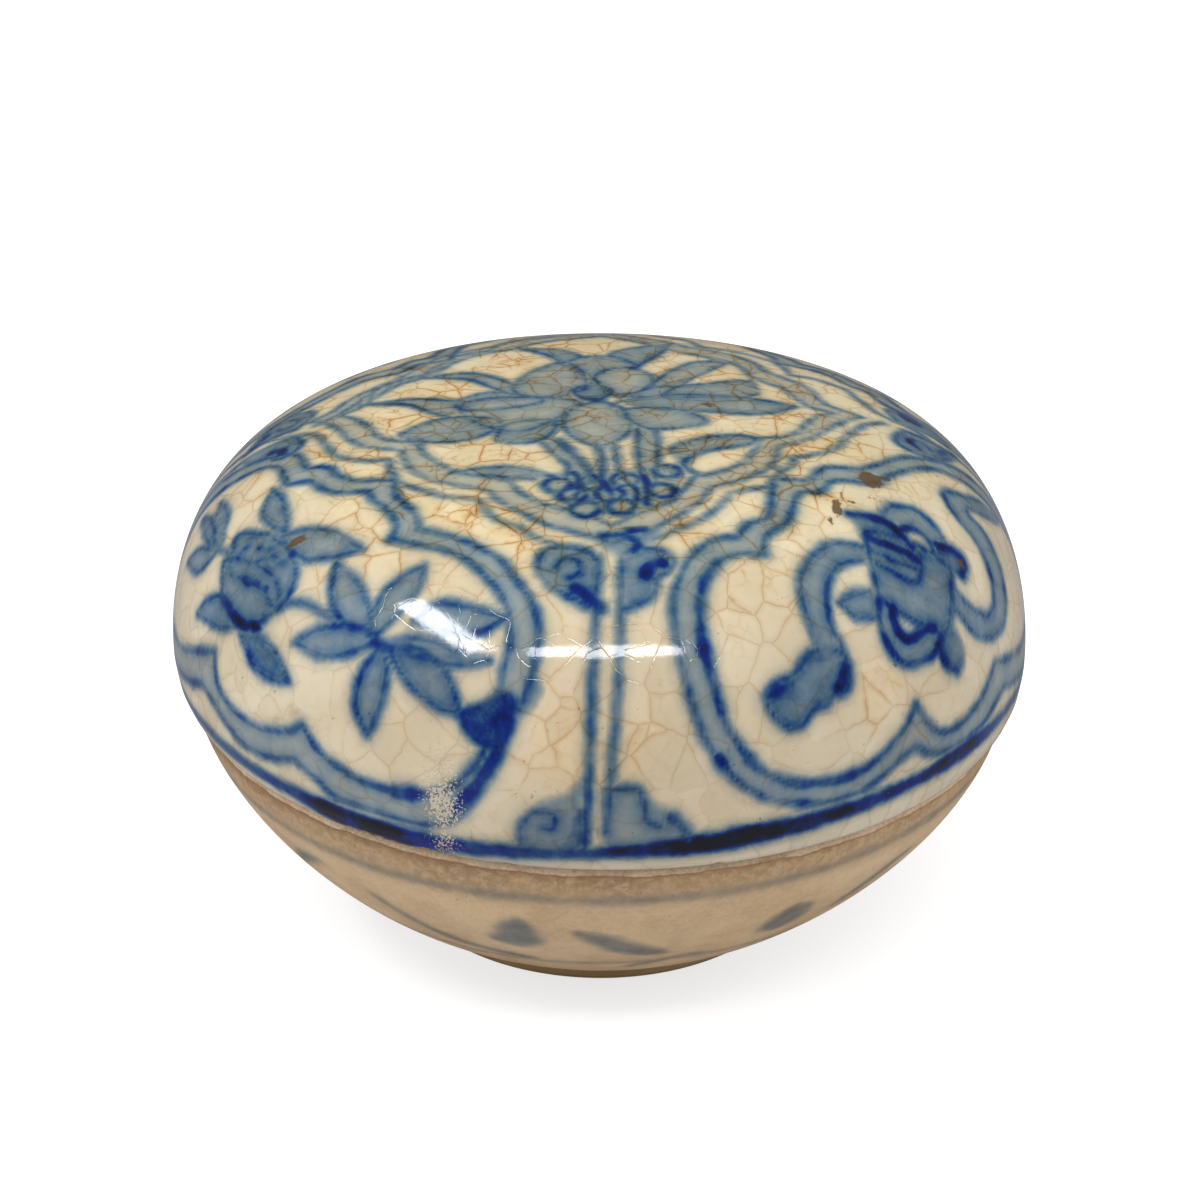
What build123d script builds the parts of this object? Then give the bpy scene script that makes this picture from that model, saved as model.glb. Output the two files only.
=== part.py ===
"""Round porcelain trinket box: a domed cover that drops over the upstanding rim of a shallow footed base.

Millimetres, +Z up. The origin is the centre of the foot ring's resting face, and the axis of the box is Z.
"""

import os
from math import sqrt

from build123d import *

# Driving dimensions
BOX_RADIUS = 60.0  # the widest circle of the cover
BOX_HEIGHT = 73.0
WIDEST_HEIGHT = 41.5
SEAM_HEIGHT = 36.5  # where the cover's rim rests on the base's ledge
WALL = 4.2

# Cover: a superellipse above its widest circle, drawn in a little below it
DOME_FLATNESS = 4.85  # power of the radius: a high value gives a flat top and full shoulders
DOME_ROUNDNESS = 1.96  # power of the height
COVER_RIM_RADIUS = 58.8
COVER_RIM_WIDTH = 4.0
COVER_ROOF = 4.8  # thickness under the top of the dome
COVER_TUCK = 0.3  # how far in from the widest circle the wall is half way down to the rim
COVER_EDGE_ROUNDING = 1.3
COVER_MOUTH_ROUNDING = 0.6
COVER_MOUTH_RADIUS = COVER_RIM_RADIUS - COVER_RIM_WIDTH

# Base: a shallow bowl on a low foot ring
BASE_RIM_RADIUS = 58.0
BOWL_FULLNESS = 1.6  # power of the height in the bowl's curve
BOWL_TURN = 1.22  # root of the radius in the bowl's curve
BOWL_SPACING = 1.6  # above 1, the curve's points crowd towards the foot, where it bends most
FOOT_RADIUS = 30.6
FOOT_HEIGHT = 2.8
FOOT_TAPER = 0.5
FOOT_RING_WIDTH = 3.6
FOOT_RECESS = 2.2  # how far the underside inside the ring lies above the table
FLOOR_HEIGHT = 7.4
FLOOR_RADIUS = 21.0

# Upstanding rim that the cover drops over
NECK_CLEARANCE = 0.7
NECK_THICKNESS = 2.6
NECK_HEIGHT = 4.0
NECK_ROUNDING = 1.0
LEDGE_ROUNDING = 0.6
FOOT_ROUNDING = 0.6
NECK_RADIUS = COVER_MOUTH_RADIUS - NECK_CLEARANCE

CURVE_SPANS = 8  # spans between the points of each formula curve
SAME_PLACE = 0.01  # edges nearer than this to a height and radius are the ones meant


def superellipse_arc(radius, low, high):
    """From the widest circle at height low up to the axis at height high, as (radius, height) points."""
    points = []
    for step in range(CURVE_SPANS + 1):
        share = sqrt(1 - step / CURVE_SPANS)
        rise = (1 - share**DOME_FLATNESS) ** (1 / DOME_ROUNDNESS)
        points.append((radius * share, low + (high - low) * rise))
    return points


def bowl_arc(foot_radius, rim_radius, low, high):
    """From the foot of a bowl up to its rim, as (radius, height) points."""
    points = []
    for step in range(CURVE_SPANS + 1):
        rise = (step / CURVE_SPANS) ** BOWL_SPACING
        spread = (1 - (1 - rise) ** BOWL_FULLNESS) ** (1 / BOWL_TURN)
        points.append((foot_radius + (rim_radius - foot_radius) * spread, low + (high - low) * rise))
    return points


def edges_at(solid, height, radius):
    """The circular edge of a turned solid at a height and radius."""
    return [
        edge
        for edge in solid.edges().filter_by(GeomType.CIRCLE)
        if abs(edge.arc_center.Z - height) < SAME_PLACE and abs(edge.radius - radius) < SAME_PLACE
    ]


def turned(*lines):
    """A closed outline in the XZ plane, turned round the Z axis."""
    with BuildPart() as part:
        with BuildSketch(Plane.XZ):
            with BuildLine():
                for line in lines:
                    add(line)
            make_face()
        revolve(axis=Axis.Z)
    return part.part.solid()


def make_cover():
    """The domed cover, open below, with a thick rounded rim."""
    outer = superellipse_arc(BOX_RADIUS, WIDEST_HEIGHT, BOX_HEIGHT)
    inner = superellipse_arc(BOX_RADIUS - WALL, WIDEST_HEIGHT, BOX_HEIGHT - COVER_ROOF)
    mouth = (COVER_MOUTH_RADIUS, SEAM_HEIGHT)
    rim = (COVER_RIM_RADIUS, SEAM_HEIGHT)
    tuck = (BOX_RADIUS - COVER_TUCK, (SEAM_HEIGHT + WIDEST_HEIGHT) / 2)
    solid = turned(
        Spline(outer, tangents=[(0, 1), (-1, 0)]),
        Line(outer[-1], inner[-1]),
        Spline(inner, tangents=[(0, 1), (-1, 0)]),
        Line(inner[0], mouth),
        Line(mouth, rim),
        ThreePointArc(rim, tuck, outer[0]),
    )
    solid = solid.fillet(COVER_EDGE_ROUNDING, edges_at(solid, SEAM_HEIGHT, COVER_RIM_RADIUS))
    return solid.fillet(COVER_MOUTH_ROUNDING, edges_at(solid, SEAM_HEIGHT, COVER_MOUTH_RADIUS))


def make_base():
    """The bowl with its foot ring below, and its ledge and upstanding neck above."""
    neck_top = SEAM_HEIGHT + NECK_HEIGHT
    neck_bore = NECK_RADIUS - NECK_THICKNESS
    foot_bottom_radius = FOOT_RADIUS - FOOT_TAPER
    ring_bore = foot_bottom_radius - FOOT_RING_WIDTH
    bowl = bowl_arc(FOOT_RADIUS, BASE_RIM_RADIUS, FOOT_HEIGHT, SEAM_HEIGHT)
    hollow = bowl_arc(FLOOR_RADIUS, neck_bore, FLOOR_HEIGHT, SEAM_HEIGHT)
    solid = turned(
        Line((0, FOOT_RECESS), (ring_bore, FOOT_RECESS)),
        Line((ring_bore, FOOT_RECESS), (ring_bore, 0)),
        Line((ring_bore, 0), (foot_bottom_radius, 0)),
        Line((foot_bottom_radius, 0), bowl[0]),
        Spline(bowl),
        Line(bowl[-1], (NECK_RADIUS, SEAM_HEIGHT)),
        Line((NECK_RADIUS, SEAM_HEIGHT), (NECK_RADIUS, neck_top)),
        Line((NECK_RADIUS, neck_top), (neck_bore, neck_top)),
        Line((neck_bore, neck_top), hollow[-1]),
        Spline(hollow),
        Line(hollow[0], (0, FLOOR_HEIGHT)),
        Line((0, FLOOR_HEIGHT), (0, FOOT_RECESS)),
    )
    roundings = [
        (NECK_ROUNDING, neck_top, NECK_RADIUS),
        (NECK_ROUNDING, neck_top, neck_bore),
        (LEDGE_ROUNDING, SEAM_HEIGHT, BASE_RIM_RADIUS),
        (FOOT_ROUNDING, 0, foot_bottom_radius),
        (FOOT_ROUNDING, 0, ring_bore),
    ]
    for rounding, height, radius in roundings:
        solid = solid.fillet(rounding, edges_at(solid, height, radius))
    return solid


os.makedirs("parts", exist_ok=True)
export_step(make_cover(), "parts/cover.step")
export_step(make_base(), "parts/base.step")
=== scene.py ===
"""Round porcelain trinket box: the looks of its two pieces, the domed cover and the footed base.

Both pieces are turned from a profile by one Geometry Nodes tree. The blue painting is a list of brush strokes
in millimetres on the flattened cover, turned into distances that the glaze materials read.
"""

import math

import bpy
import numpy as np
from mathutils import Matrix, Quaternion, Vector


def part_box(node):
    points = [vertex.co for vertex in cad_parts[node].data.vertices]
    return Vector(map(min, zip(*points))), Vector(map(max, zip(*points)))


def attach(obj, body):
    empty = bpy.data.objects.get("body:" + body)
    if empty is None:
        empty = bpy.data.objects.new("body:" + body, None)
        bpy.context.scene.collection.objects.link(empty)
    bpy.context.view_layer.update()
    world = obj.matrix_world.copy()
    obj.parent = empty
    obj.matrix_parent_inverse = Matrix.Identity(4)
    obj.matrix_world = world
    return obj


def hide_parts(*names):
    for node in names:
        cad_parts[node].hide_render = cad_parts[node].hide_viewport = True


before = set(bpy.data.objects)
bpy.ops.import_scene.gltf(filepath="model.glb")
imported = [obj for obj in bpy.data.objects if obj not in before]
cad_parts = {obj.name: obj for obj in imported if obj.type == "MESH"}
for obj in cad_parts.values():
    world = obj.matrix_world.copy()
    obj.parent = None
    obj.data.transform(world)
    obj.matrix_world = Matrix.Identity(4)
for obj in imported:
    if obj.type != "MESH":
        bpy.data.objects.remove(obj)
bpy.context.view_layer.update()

MM = 0.001

# ---------------------------------------------------------------- sizes, in millimetres
COVER_LOW, COVER_HIGH = (Vector(corner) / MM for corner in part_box("cover"))
BASE_HIGH = Vector(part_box("base")[1]) / MM

BOX_RADIUS = COVER_HIGH.x
BOX_HEIGHT = COVER_HIGH.z
SEAM_HEIGHT = COVER_LOW.z
NECK_TOP = BASE_HIGH.z
BASE_RIM_RADIUS = 58.0
WIDEST_HEIGHT = SEAM_HEIGHT + 5.0
WALL = 4.2
ROOF = 4.8
DOME_FLATNESS = 4.85
DOME_ROUNDNESS = 1.96
COVER_RIM_RADIUS = 58.8
COVER_MOUTH_RADIUS = 54.8
COVER_TUCK = 0.3
NECK_RADIUS = 54.1
NECK_BORE = 51.5
FLOOR_HEIGHT = 7.4
FLOOR_RADIUS = 21.0
FOOT_RADIUS = 30.6
FOOT_HEIGHT = 2.8
FOOT_BOTTOM_RADIUS = 30.1
FOOT_BORE = 26.5
FOOT_RECESS = 2.2
BOWL_FULLNESS = 1.6
BOWL_TURN = 1.22
COVER_RIM_ROUNDING = 1.3
NECK_ROUNDING = 1.0
EDGE_ROUNDING = 0.6  # the cover's mouth, the base's rim and the foot
LEDGE_ROUNDING = 0.4
RECESS_ROUNDING = 0.5
CHIP_DEPTH = 0.9
SEAM_LEAN = -0.016  # rise of the seam per millimetre towards +X
UNEVENNESS = 0.28
THROWING_RINGS = 0.07
RING_TURNS = 1.15  # radians of a throwing ring's wave per millimetre along the profile
LUMPS = 28.0  # lumps of the unevenness per metre

PROFILE_POINTS = 160
PAINTED_ROW = 0.56  # spacing of the mesh's rows where the surface is painted
CROWN_ROW = 0.8  # and on the flat crown
CROWN_RADIUS = 34.0
INSIDE_ROW = 2.6
COVER_INSIDE_ROW = 4.2
RIM_ROW = 0.7  # round the cover's rim and the base's neck
BASE_ROW = 0.6  # and on the outside of the base
COLUMNS = 640
FAR = 50.0  # distance given to a point that no stroke comes near
REACH = 2.5  # how far outside a stroke the distances to it are kept

CAMERA_AIM = 36.65  # height that the camera looks at
CAMERA_DISTANCE = 300.0
CAMERA_RISE = 27.0  # degrees


# ---------------------------------------------------------------- profiles


def dome_curve(radius, low, high):
    """From the axis at height high out and down to the widest circle at height low."""
    turn = np.linspace(0.0, math.pi / 2, PROFILE_POINTS)
    share = np.sin(turn) ** (2 / DOME_FLATNESS)
    first = 0.02  # the steps next to the axis are shortened
    share = np.where(turn < first, share * turn / first, share)
    rise = (1 - share**DOME_FLATNESS) ** (1 / DOME_ROUNDNESS)
    return np.column_stack([radius * share, low + (high - low) * rise])


def bowl_curve(foot_radius, rim_radius, low, high):
    """From the foot of a bowl out and up to its rim."""
    rise = np.linspace(0.0, 1.0, PROFILE_POINTS) ** BOWL_FULLNESS
    spread = (1 - (1 - rise) ** BOWL_FULLNESS) ** (1 / BOWL_TURN)
    return np.column_stack([foot_radius + (rim_radius - foot_radius) * spread, low + (high - low) * rise])


def rounded(corner, before, after, radius):
    """An arc of that radius in place of a corner of the profile."""
    corner, before, after = (np.array(point, float) for point in (corner, before, after))
    way_in = (before - corner) / np.linalg.norm(before - corner)
    way_out = (after - corner) / np.linalg.norm(after - corner)
    half = math.acos(float(np.clip(way_in @ way_out, -1, 1))) / 2
    reach = radius / math.tan(half)
    middle = corner + (way_in + way_out) / np.linalg.norm(way_in + way_out) * radius / math.sin(half)
    start, end = corner + way_in * reach, corner + way_out * reach
    points = []
    for share in np.linspace(0, 1, 7):
        spoke = start + (end - start) * share - middle
        points.append(middle + spoke / np.linalg.norm(spoke) * radius)
    return np.array(points)


def lengths_along(points):
    """Distance along a path to each of its points."""
    steps = np.linalg.norm(np.diff(points, axis=0), axis=1)
    return np.concatenate([[0.0], np.cumsum(steps)])


def cover_profile():
    """The cover's section from the middle of its crown, down outside and back inside to the axis."""
    outer = dome_curve(BOX_RADIUS, WIDEST_HEIGHT, BOX_HEIGHT)
    inner = dome_curve(BOX_RADIUS - WALL, WIDEST_HEIGHT, BOX_HEIGHT - ROOF)[::-1]
    tuck = (BOX_RADIUS - COVER_TUCK, (SEAM_HEIGHT + WIDEST_HEIGHT) / 2)
    rim = (COVER_RIM_RADIUS, SEAM_HEIGHT)
    mouth = (COVER_MOUTH_RADIUS, SEAM_HEIGHT)
    return np.vstack([
        outer,
        [tuck],
        rounded(rim, tuck, mouth, COVER_RIM_ROUNDING),
        rounded(mouth, rim, inner[0], EDGE_ROUNDING),
        inner,
    ])


def base_profile():
    """The base's section from the middle of its floor, up inside and down outside to the axis."""
    hollow = bowl_curve(FLOOR_RADIUS, NECK_BORE, FLOOR_HEIGHT, SEAM_HEIGHT)
    bowl = bowl_curve(FOOT_RADIUS, BASE_RIM_RADIUS, FOOT_HEIGHT, SEAM_HEIGHT)[::-1]
    ledge = (NECK_RADIUS, SEAM_HEIGHT)
    neck_outside = (NECK_RADIUS, NECK_TOP)
    neck_inside = (NECK_BORE, NECK_TOP)
    foot_outside = (FOOT_BOTTOM_RADIUS, 0.0)
    foot_inside = (FOOT_BORE, 0.0)
    recess = (FOOT_BORE, FOOT_RECESS)
    past_rim = 8  # the bowl's points up to here give way to its rounded rim
    return np.vstack([
        [(0.0, FLOOR_HEIGHT)],
        hollow,
        rounded(neck_inside, hollow[-1], neck_outside, NECK_ROUNDING),
        rounded(neck_outside, neck_inside, ledge, NECK_ROUNDING),
        rounded(ledge, neck_outside, bowl[0], LEDGE_ROUNDING),
        rounded(bowl[0], ledge, bowl[past_rim], EDGE_ROUNDING),
        bowl[past_rim:],
        rounded(foot_outside, bowl[-1], foot_inside, EDGE_ROUNDING),
        rounded(foot_inside, foot_outside, recess, EDGE_ROUNDING),
        rounded(recess, foot_inside, (0.0, FOOT_RECESS), RECESS_ROUNDING),
        [(0.0, FOOT_RECESS)],
    ])


def spaced(profile, spacing_at):
    """The profile's points again, as far apart as spacing_at says for a radius, height and way along."""
    lengths = lengths_along(profile)
    marks = [0.0]
    while marks[-1] < lengths[-1]:
        radius = float(np.interp(marks[-1], lengths, profile[:, 0]))
        height = float(np.interp(marks[-1], lengths, profile[:, 1]))
        marks.append(marks[-1] + spacing_at(radius, height, marks[-1]))
    marks = np.array(marks) * lengths[-1] / marks[-1]
    points = np.column_stack([np.interp(marks, lengths, profile[:, axis]) for axis in (0, 1)])
    return points, marks


# ---------------------------------------------------------------- node helpers


class Wiring:
    """A node tree being built: each call adds a node, sets it up and joins its inputs."""

    def __init__(self, tree):
        self.tree = tree

    def node(self, kind, inputs=None, **settings):
        node = self.tree.nodes.new(kind)
        for name, value in settings.items():
            setattr(node, name, value)
        for socket, value in (inputs or {}).items():
            self.join(value, node.inputs[socket])
        return node

    def join(self, value, socket):
        if isinstance(value, bpy.types.NodeSocket):
            self.tree.links.new(value, socket)
        else:
            socket.default_value = value

    def math(self, operation, first, second=0.0, clamp=False):
        node = self.node("ShaderNodeMath", {0: first, 1: second}, operation=operation, use_clamp=clamp)
        return node.outputs[0]

    def times(self, first, second, clamp=False):
        return self.math("MULTIPLY", first, second, clamp)

    def plus(self, first, second, clamp=False):
        return self.math("ADD", first, second, clamp)

    def minus(self, first, second):
        return self.math("SUBTRACT", first, second)

    def most(self, first, second):
        return self.math("MAXIMUM", first, second)

    def vector(self, operation, first, second=(0, 0, 0), scale=1.0):
        node = self.node("ShaderNodeVectorMath", {0: first, 1: second}, operation=operation)
        if operation == "SCALE":
            self.join(scale, node.inputs["Scale"])
        return node.outputs[0]

    def smoothstep(self, value, low, high, start=0.0, end=1.0):
        inputs = {"Value": value, 1: low, 2: high, 3: start, 4: end}
        return self.node("ShaderNodeMapRange", inputs, interpolation_type="SMOOTHSTEP").outputs[0]

    def noise(self, place, size, detail=2.0, roughness=0.5, distortion=0.0):
        """Noise about 0.5 whose lumps are about that size, in the units of place."""
        inputs = {
            "Vector": place,
            "Scale": self.math("DIVIDE", 1.0, size) if isinstance(size, bpy.types.NodeSocket) else 1 / size,
            "Detail": detail,
            "Roughness": roughness,
            "Distortion": distortion,
        }
        return self.node("ShaderNodeTexNoise", inputs).outputs

    def blend(self, share, first, second, how="MIX"):
        node = self.node("ShaderNodeMix", data_type="RGBA", blend_type=how)
        self.join(share, node.inputs[0])
        self.join(first, node.inputs[6])
        self.join(second, node.inputs[7])
        return node.outputs[2]

    def attribute(self, name):
        return self.node("ShaderNodeAttribute", attribute_name=name).outputs["Fac"]

    def ramp(self, value, stops):
        node = self.node("ShaderNodeValToRGB", {0: value})
        elements = node.color_ramp.elements
        elements[0].position, elements[0].color = stops[0][0], (*stops[0][1], 1)
        elements[1].position, elements[1].color = stops[-1][0], (*stops[-1][1], 1)
        for position, colour in stops[1:-1]:
            element = elements.new(position)
            element.color = (*colour, 1)
        return node.outputs[0]


SOCKETS = {"float": "NodeSocketFloat", "vector": "NodeSocketVector", "colour": "NodeSocketColor"}


def shader_group(name, inputs, outputs):
    """An empty shader node group with named sockets: (tree, wiring, its inputs, its output node)."""
    tree = bpy.data.node_groups.new(name, "ShaderNodeTree")
    for label, kind in inputs:
        tree.interface.new_socket(label, in_out="INPUT", socket_type=SOCKETS[kind])
    for label, kind in outputs:
        tree.interface.new_socket(label, in_out="OUTPUT", socket_type=SOCKETS[kind])
    wiring = Wiring(tree)
    return tree, wiring, wiring.node("NodeGroupInput").outputs, wiring.node("NodeGroupOutput")


def placed(wiring, tree, **inputs):
    """A shared group placed in a material, its inputs given by name with underscores for spaces."""
    node = wiring.node("ShaderNodeGroup", node_tree=tree)
    for label, value in inputs.items():
        wiring.join(value, node.inputs[label.replace("_", " ")])
    return node.outputs


# ---------------------------------------------------------------- the turning tree


def turning_tree():
    """Geometry Nodes: turns a profile in the XZ plane round the Z axis, a little unevenly, closed."""
    tree = bpy.data.node_groups.new("turned_on_the_wheel", "GeometryNodeTree")
    face = tree.interface
    face.new_socket("Profile", in_out="INPUT", socket_type="NodeSocketGeometry")
    for label, kind in (
        ("Columns", "NodeSocketInt"),
        ("Seam height", "NodeSocketFloat"),
        ("Seam lean", "NodeSocketFloat"),
        ("Lean reach", "NodeSocketFloat"),
        ("Unevenness", "NodeSocketFloat"),
        ("Throwing rings", "NodeSocketFloat"),
        ("Glaze", "NodeSocketMaterial"),
    ):
        face.new_socket(label, in_out="INPUT", socket_type=kind)
    face.new_socket("Turned", in_out="OUTPUT", socket_type="NodeSocketGeometry")

    wire = Wiring(tree)
    given = wire.node("NodeGroupInput").outputs
    rows = wire.node("GeometryNodeAttributeDomainSize", {0: given["Profile"]}).outputs["Point Count"]
    columns = wire.plus(given["Columns"], 1)
    grid = wire.node("GeometryNodeMeshGrid", {"Vertices X": columns, "Vertices Y": rows}).outputs["Mesh"]
    index = wire.node("GeometryNodeInputIndex").outputs[0]
    column = wire.math("FLOOR", wire.math("DIVIDE", wire.plus(index, 0.5), rows))
    row = wire.minus(index, wire.times(column, rows))

    def from_profile(value, kind):
        inputs = {"Geometry": given["Profile"], "Value": value, "Index": row}
        return wire.node("GeometryNodeSampleIndex", inputs, data_type=kind).outputs[0]

    spot = from_profile(wire.node("GeometryNodeInputPosition").outputs[0], "FLOAT_VECTOR")
    along = wire.node("GeometryNodeInputNamedAttribute", {"Name": "along"}, data_type="FLOAT").outputs[0]
    inside = wire.node("GeometryNodeInputNamedAttribute", {"Name": "inside"}, data_type="FLOAT").outputs[0]
    along, inside = from_profile(along, "FLOAT"), from_profile(inside, "FLOAT")
    kept = grid
    for name, value in (("along", along), ("inside", inside)):
        inputs = {"Geometry": kept, "Name": name, "Value": value}
        kept = wire.node("GeometryNodeStoreNamedAttribute", inputs, data_type="FLOAT").outputs[0]

    angle = wire.times(wire.math("DIVIDE", column, given["Columns"]), -math.tau)
    turning = {"Vector": spot, "Angle": angle}
    turned = wire.node("ShaderNodeVectorRotate", turning, rotation_type="Z_AXIS").outputs[0]
    parts = wire.node("ShaderNodeSeparateXYZ", {0: turned}).outputs

    # The whole seam leans a little, more at the seam than at the foot or the crown.
    above = wire.math("ABSOLUTE", wire.minus(parts["Z"], given["Seam height"]))
    near_seam = wire.smoothstep(wire.math("DIVIDE", above, given["Lean reach"]), 0.0, 1.0, 1.0, 0.0)
    lean = wire.times(wire.times(parts["X"], given["Seam lean"]), near_seam)

    # Hand-thrown clay is never quite round or level.
    lumps = wire.node("ShaderNodeTexNoise", {"Vector": turned, "Scale": LUMPS, "Detail": 1.0}).outputs["Fac"]
    lumps = wire.times(wire.minus(lumps, 0.5), given["Unevenness"])
    rings = wire.math("SINE", wire.times(along, RING_TURNS))
    rings = wire.times(wire.times(rings, inside), given["Throwing rings"])
    level = wire.node("ShaderNodeCombineXYZ", {0: parts["X"], 1: parts["Y"]}).outputs[0]
    outward = wire.vector("NORMALIZE", level)
    push = wire.vector("SCALE", outward, scale=wire.plus(lumps, rings))
    lift = wire.node("ShaderNodeCombineXYZ", {2: lean}).outputs[0]
    place = wire.vector("ADD", wire.vector("ADD", turned, push), lift)

    turned_skin = wire.node("GeometryNodeSetPosition", {"Geometry": kept, "Position": place}).outputs[0]
    closed = wire.node("GeometryNodeMergeByDistance", {"Geometry": turned_skin, "Distance": 1e-6}).outputs[0]
    smooth = wire.node("GeometryNodeSetShadeSmooth", {0: closed}).outputs[0]
    real = wire.node("GeometryNodeRealizeInstances", {0: smooth}).outputs[0]
    glazed = wire.node("GeometryNodeSetMaterial", {"Geometry": real, "Material": given["Glaze"]}).outputs[0]
    out = wire.node("NodeGroupOutput")
    wire.join(glazed, out.inputs[0])
    return tree


def turned_piece(name, points, marks, inside, glaze, tree, lean_reach):
    """A piece turned from profile points in millimetres, as a plain mesh object at the origin."""
    profile = bpy.data.meshes.new(name + "_profile")
    places = [(x * MM, 0.0, z * MM) for x, z in points]
    profile.from_pydata(places, [(step, step + 1) for step in range(len(places) - 1)], [])
    for label, values in (("along", marks), ("inside", inside)):
        profile.attributes.new(label, "FLOAT", "POINT").data.foreach_set("value", values.astype(np.float32))
    maker = bpy.data.objects.new(name + "_maker", profile)
    bpy.context.scene.collection.objects.link(maker)
    modifier = maker.modifiers.new("turning", "NODES")
    modifier.node_group = tree
    settings = {
        "Columns": COLUMNS,
        "Seam height": SEAM_HEIGHT * MM,
        "Seam lean": SEAM_LEAN,
        "Lean reach": lean_reach * MM,
        "Unevenness": UNEVENNESS * MM,
        "Throwing rings": THROWING_RINGS * MM,
        "Glaze": glaze,
    }
    for item in tree.interface.items_tree:
        if item.in_out == "INPUT" and item.name in settings:
            modifier[item.identifier] = settings[item.name]
    bpy.context.view_layer.update()
    shape = maker.evaluated_get(bpy.context.evaluated_depsgraph_get())
    mesh = bpy.data.meshes.new_from_object(shape)
    mesh.name = name
    bpy.data.objects.remove(maker)
    bpy.data.meshes.remove(profile)
    piece = bpy.data.objects.new(name, mesh)
    bpy.context.scene.collection.objects.link(piece)
    return piece


# ---------------------------------------------------------------- brushwork


def smooth_path(points, closed=False, step=0.7):
    """A curve through listed points; a point given twice is a sharp corner."""
    points = [np.array(point, float) for point in points]
    if closed and not np.allclose(points[0], points[-1]):
        points.append(points[0])
    runs, run = [], [points[0]]
    for before, point in zip(points, points[1:]):
        if np.allclose(before, point):
            runs.append(run)
            run = [point]
        else:
            run.append(point)
    runs.append(run)
    wraps = closed and len(runs) == 1
    out = []
    for run in runs:
        if wraps:
            ends = (run[-2], run[1])
        else:
            ends = (2 * run[0] - run[1], 2 * run[-1] - run[-2])
        knots = [ends[0], *run, ends[1]]
        for place in range(1, len(knots) - 2):
            a, b, c, d = knots[place - 1 : place + 3]
            count = max(2, int(np.linalg.norm(c - b) / step) + 1)
            for share in np.arange(count) / count:
                bend = 2 * a - 5 * b + 4 * c - d + (3 * b - a - 3 * c + d) * share
                out.append(b + 0.5 * share * (c - a + share * bend))
    out.append(points[-1])
    return np.array(out)


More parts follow.
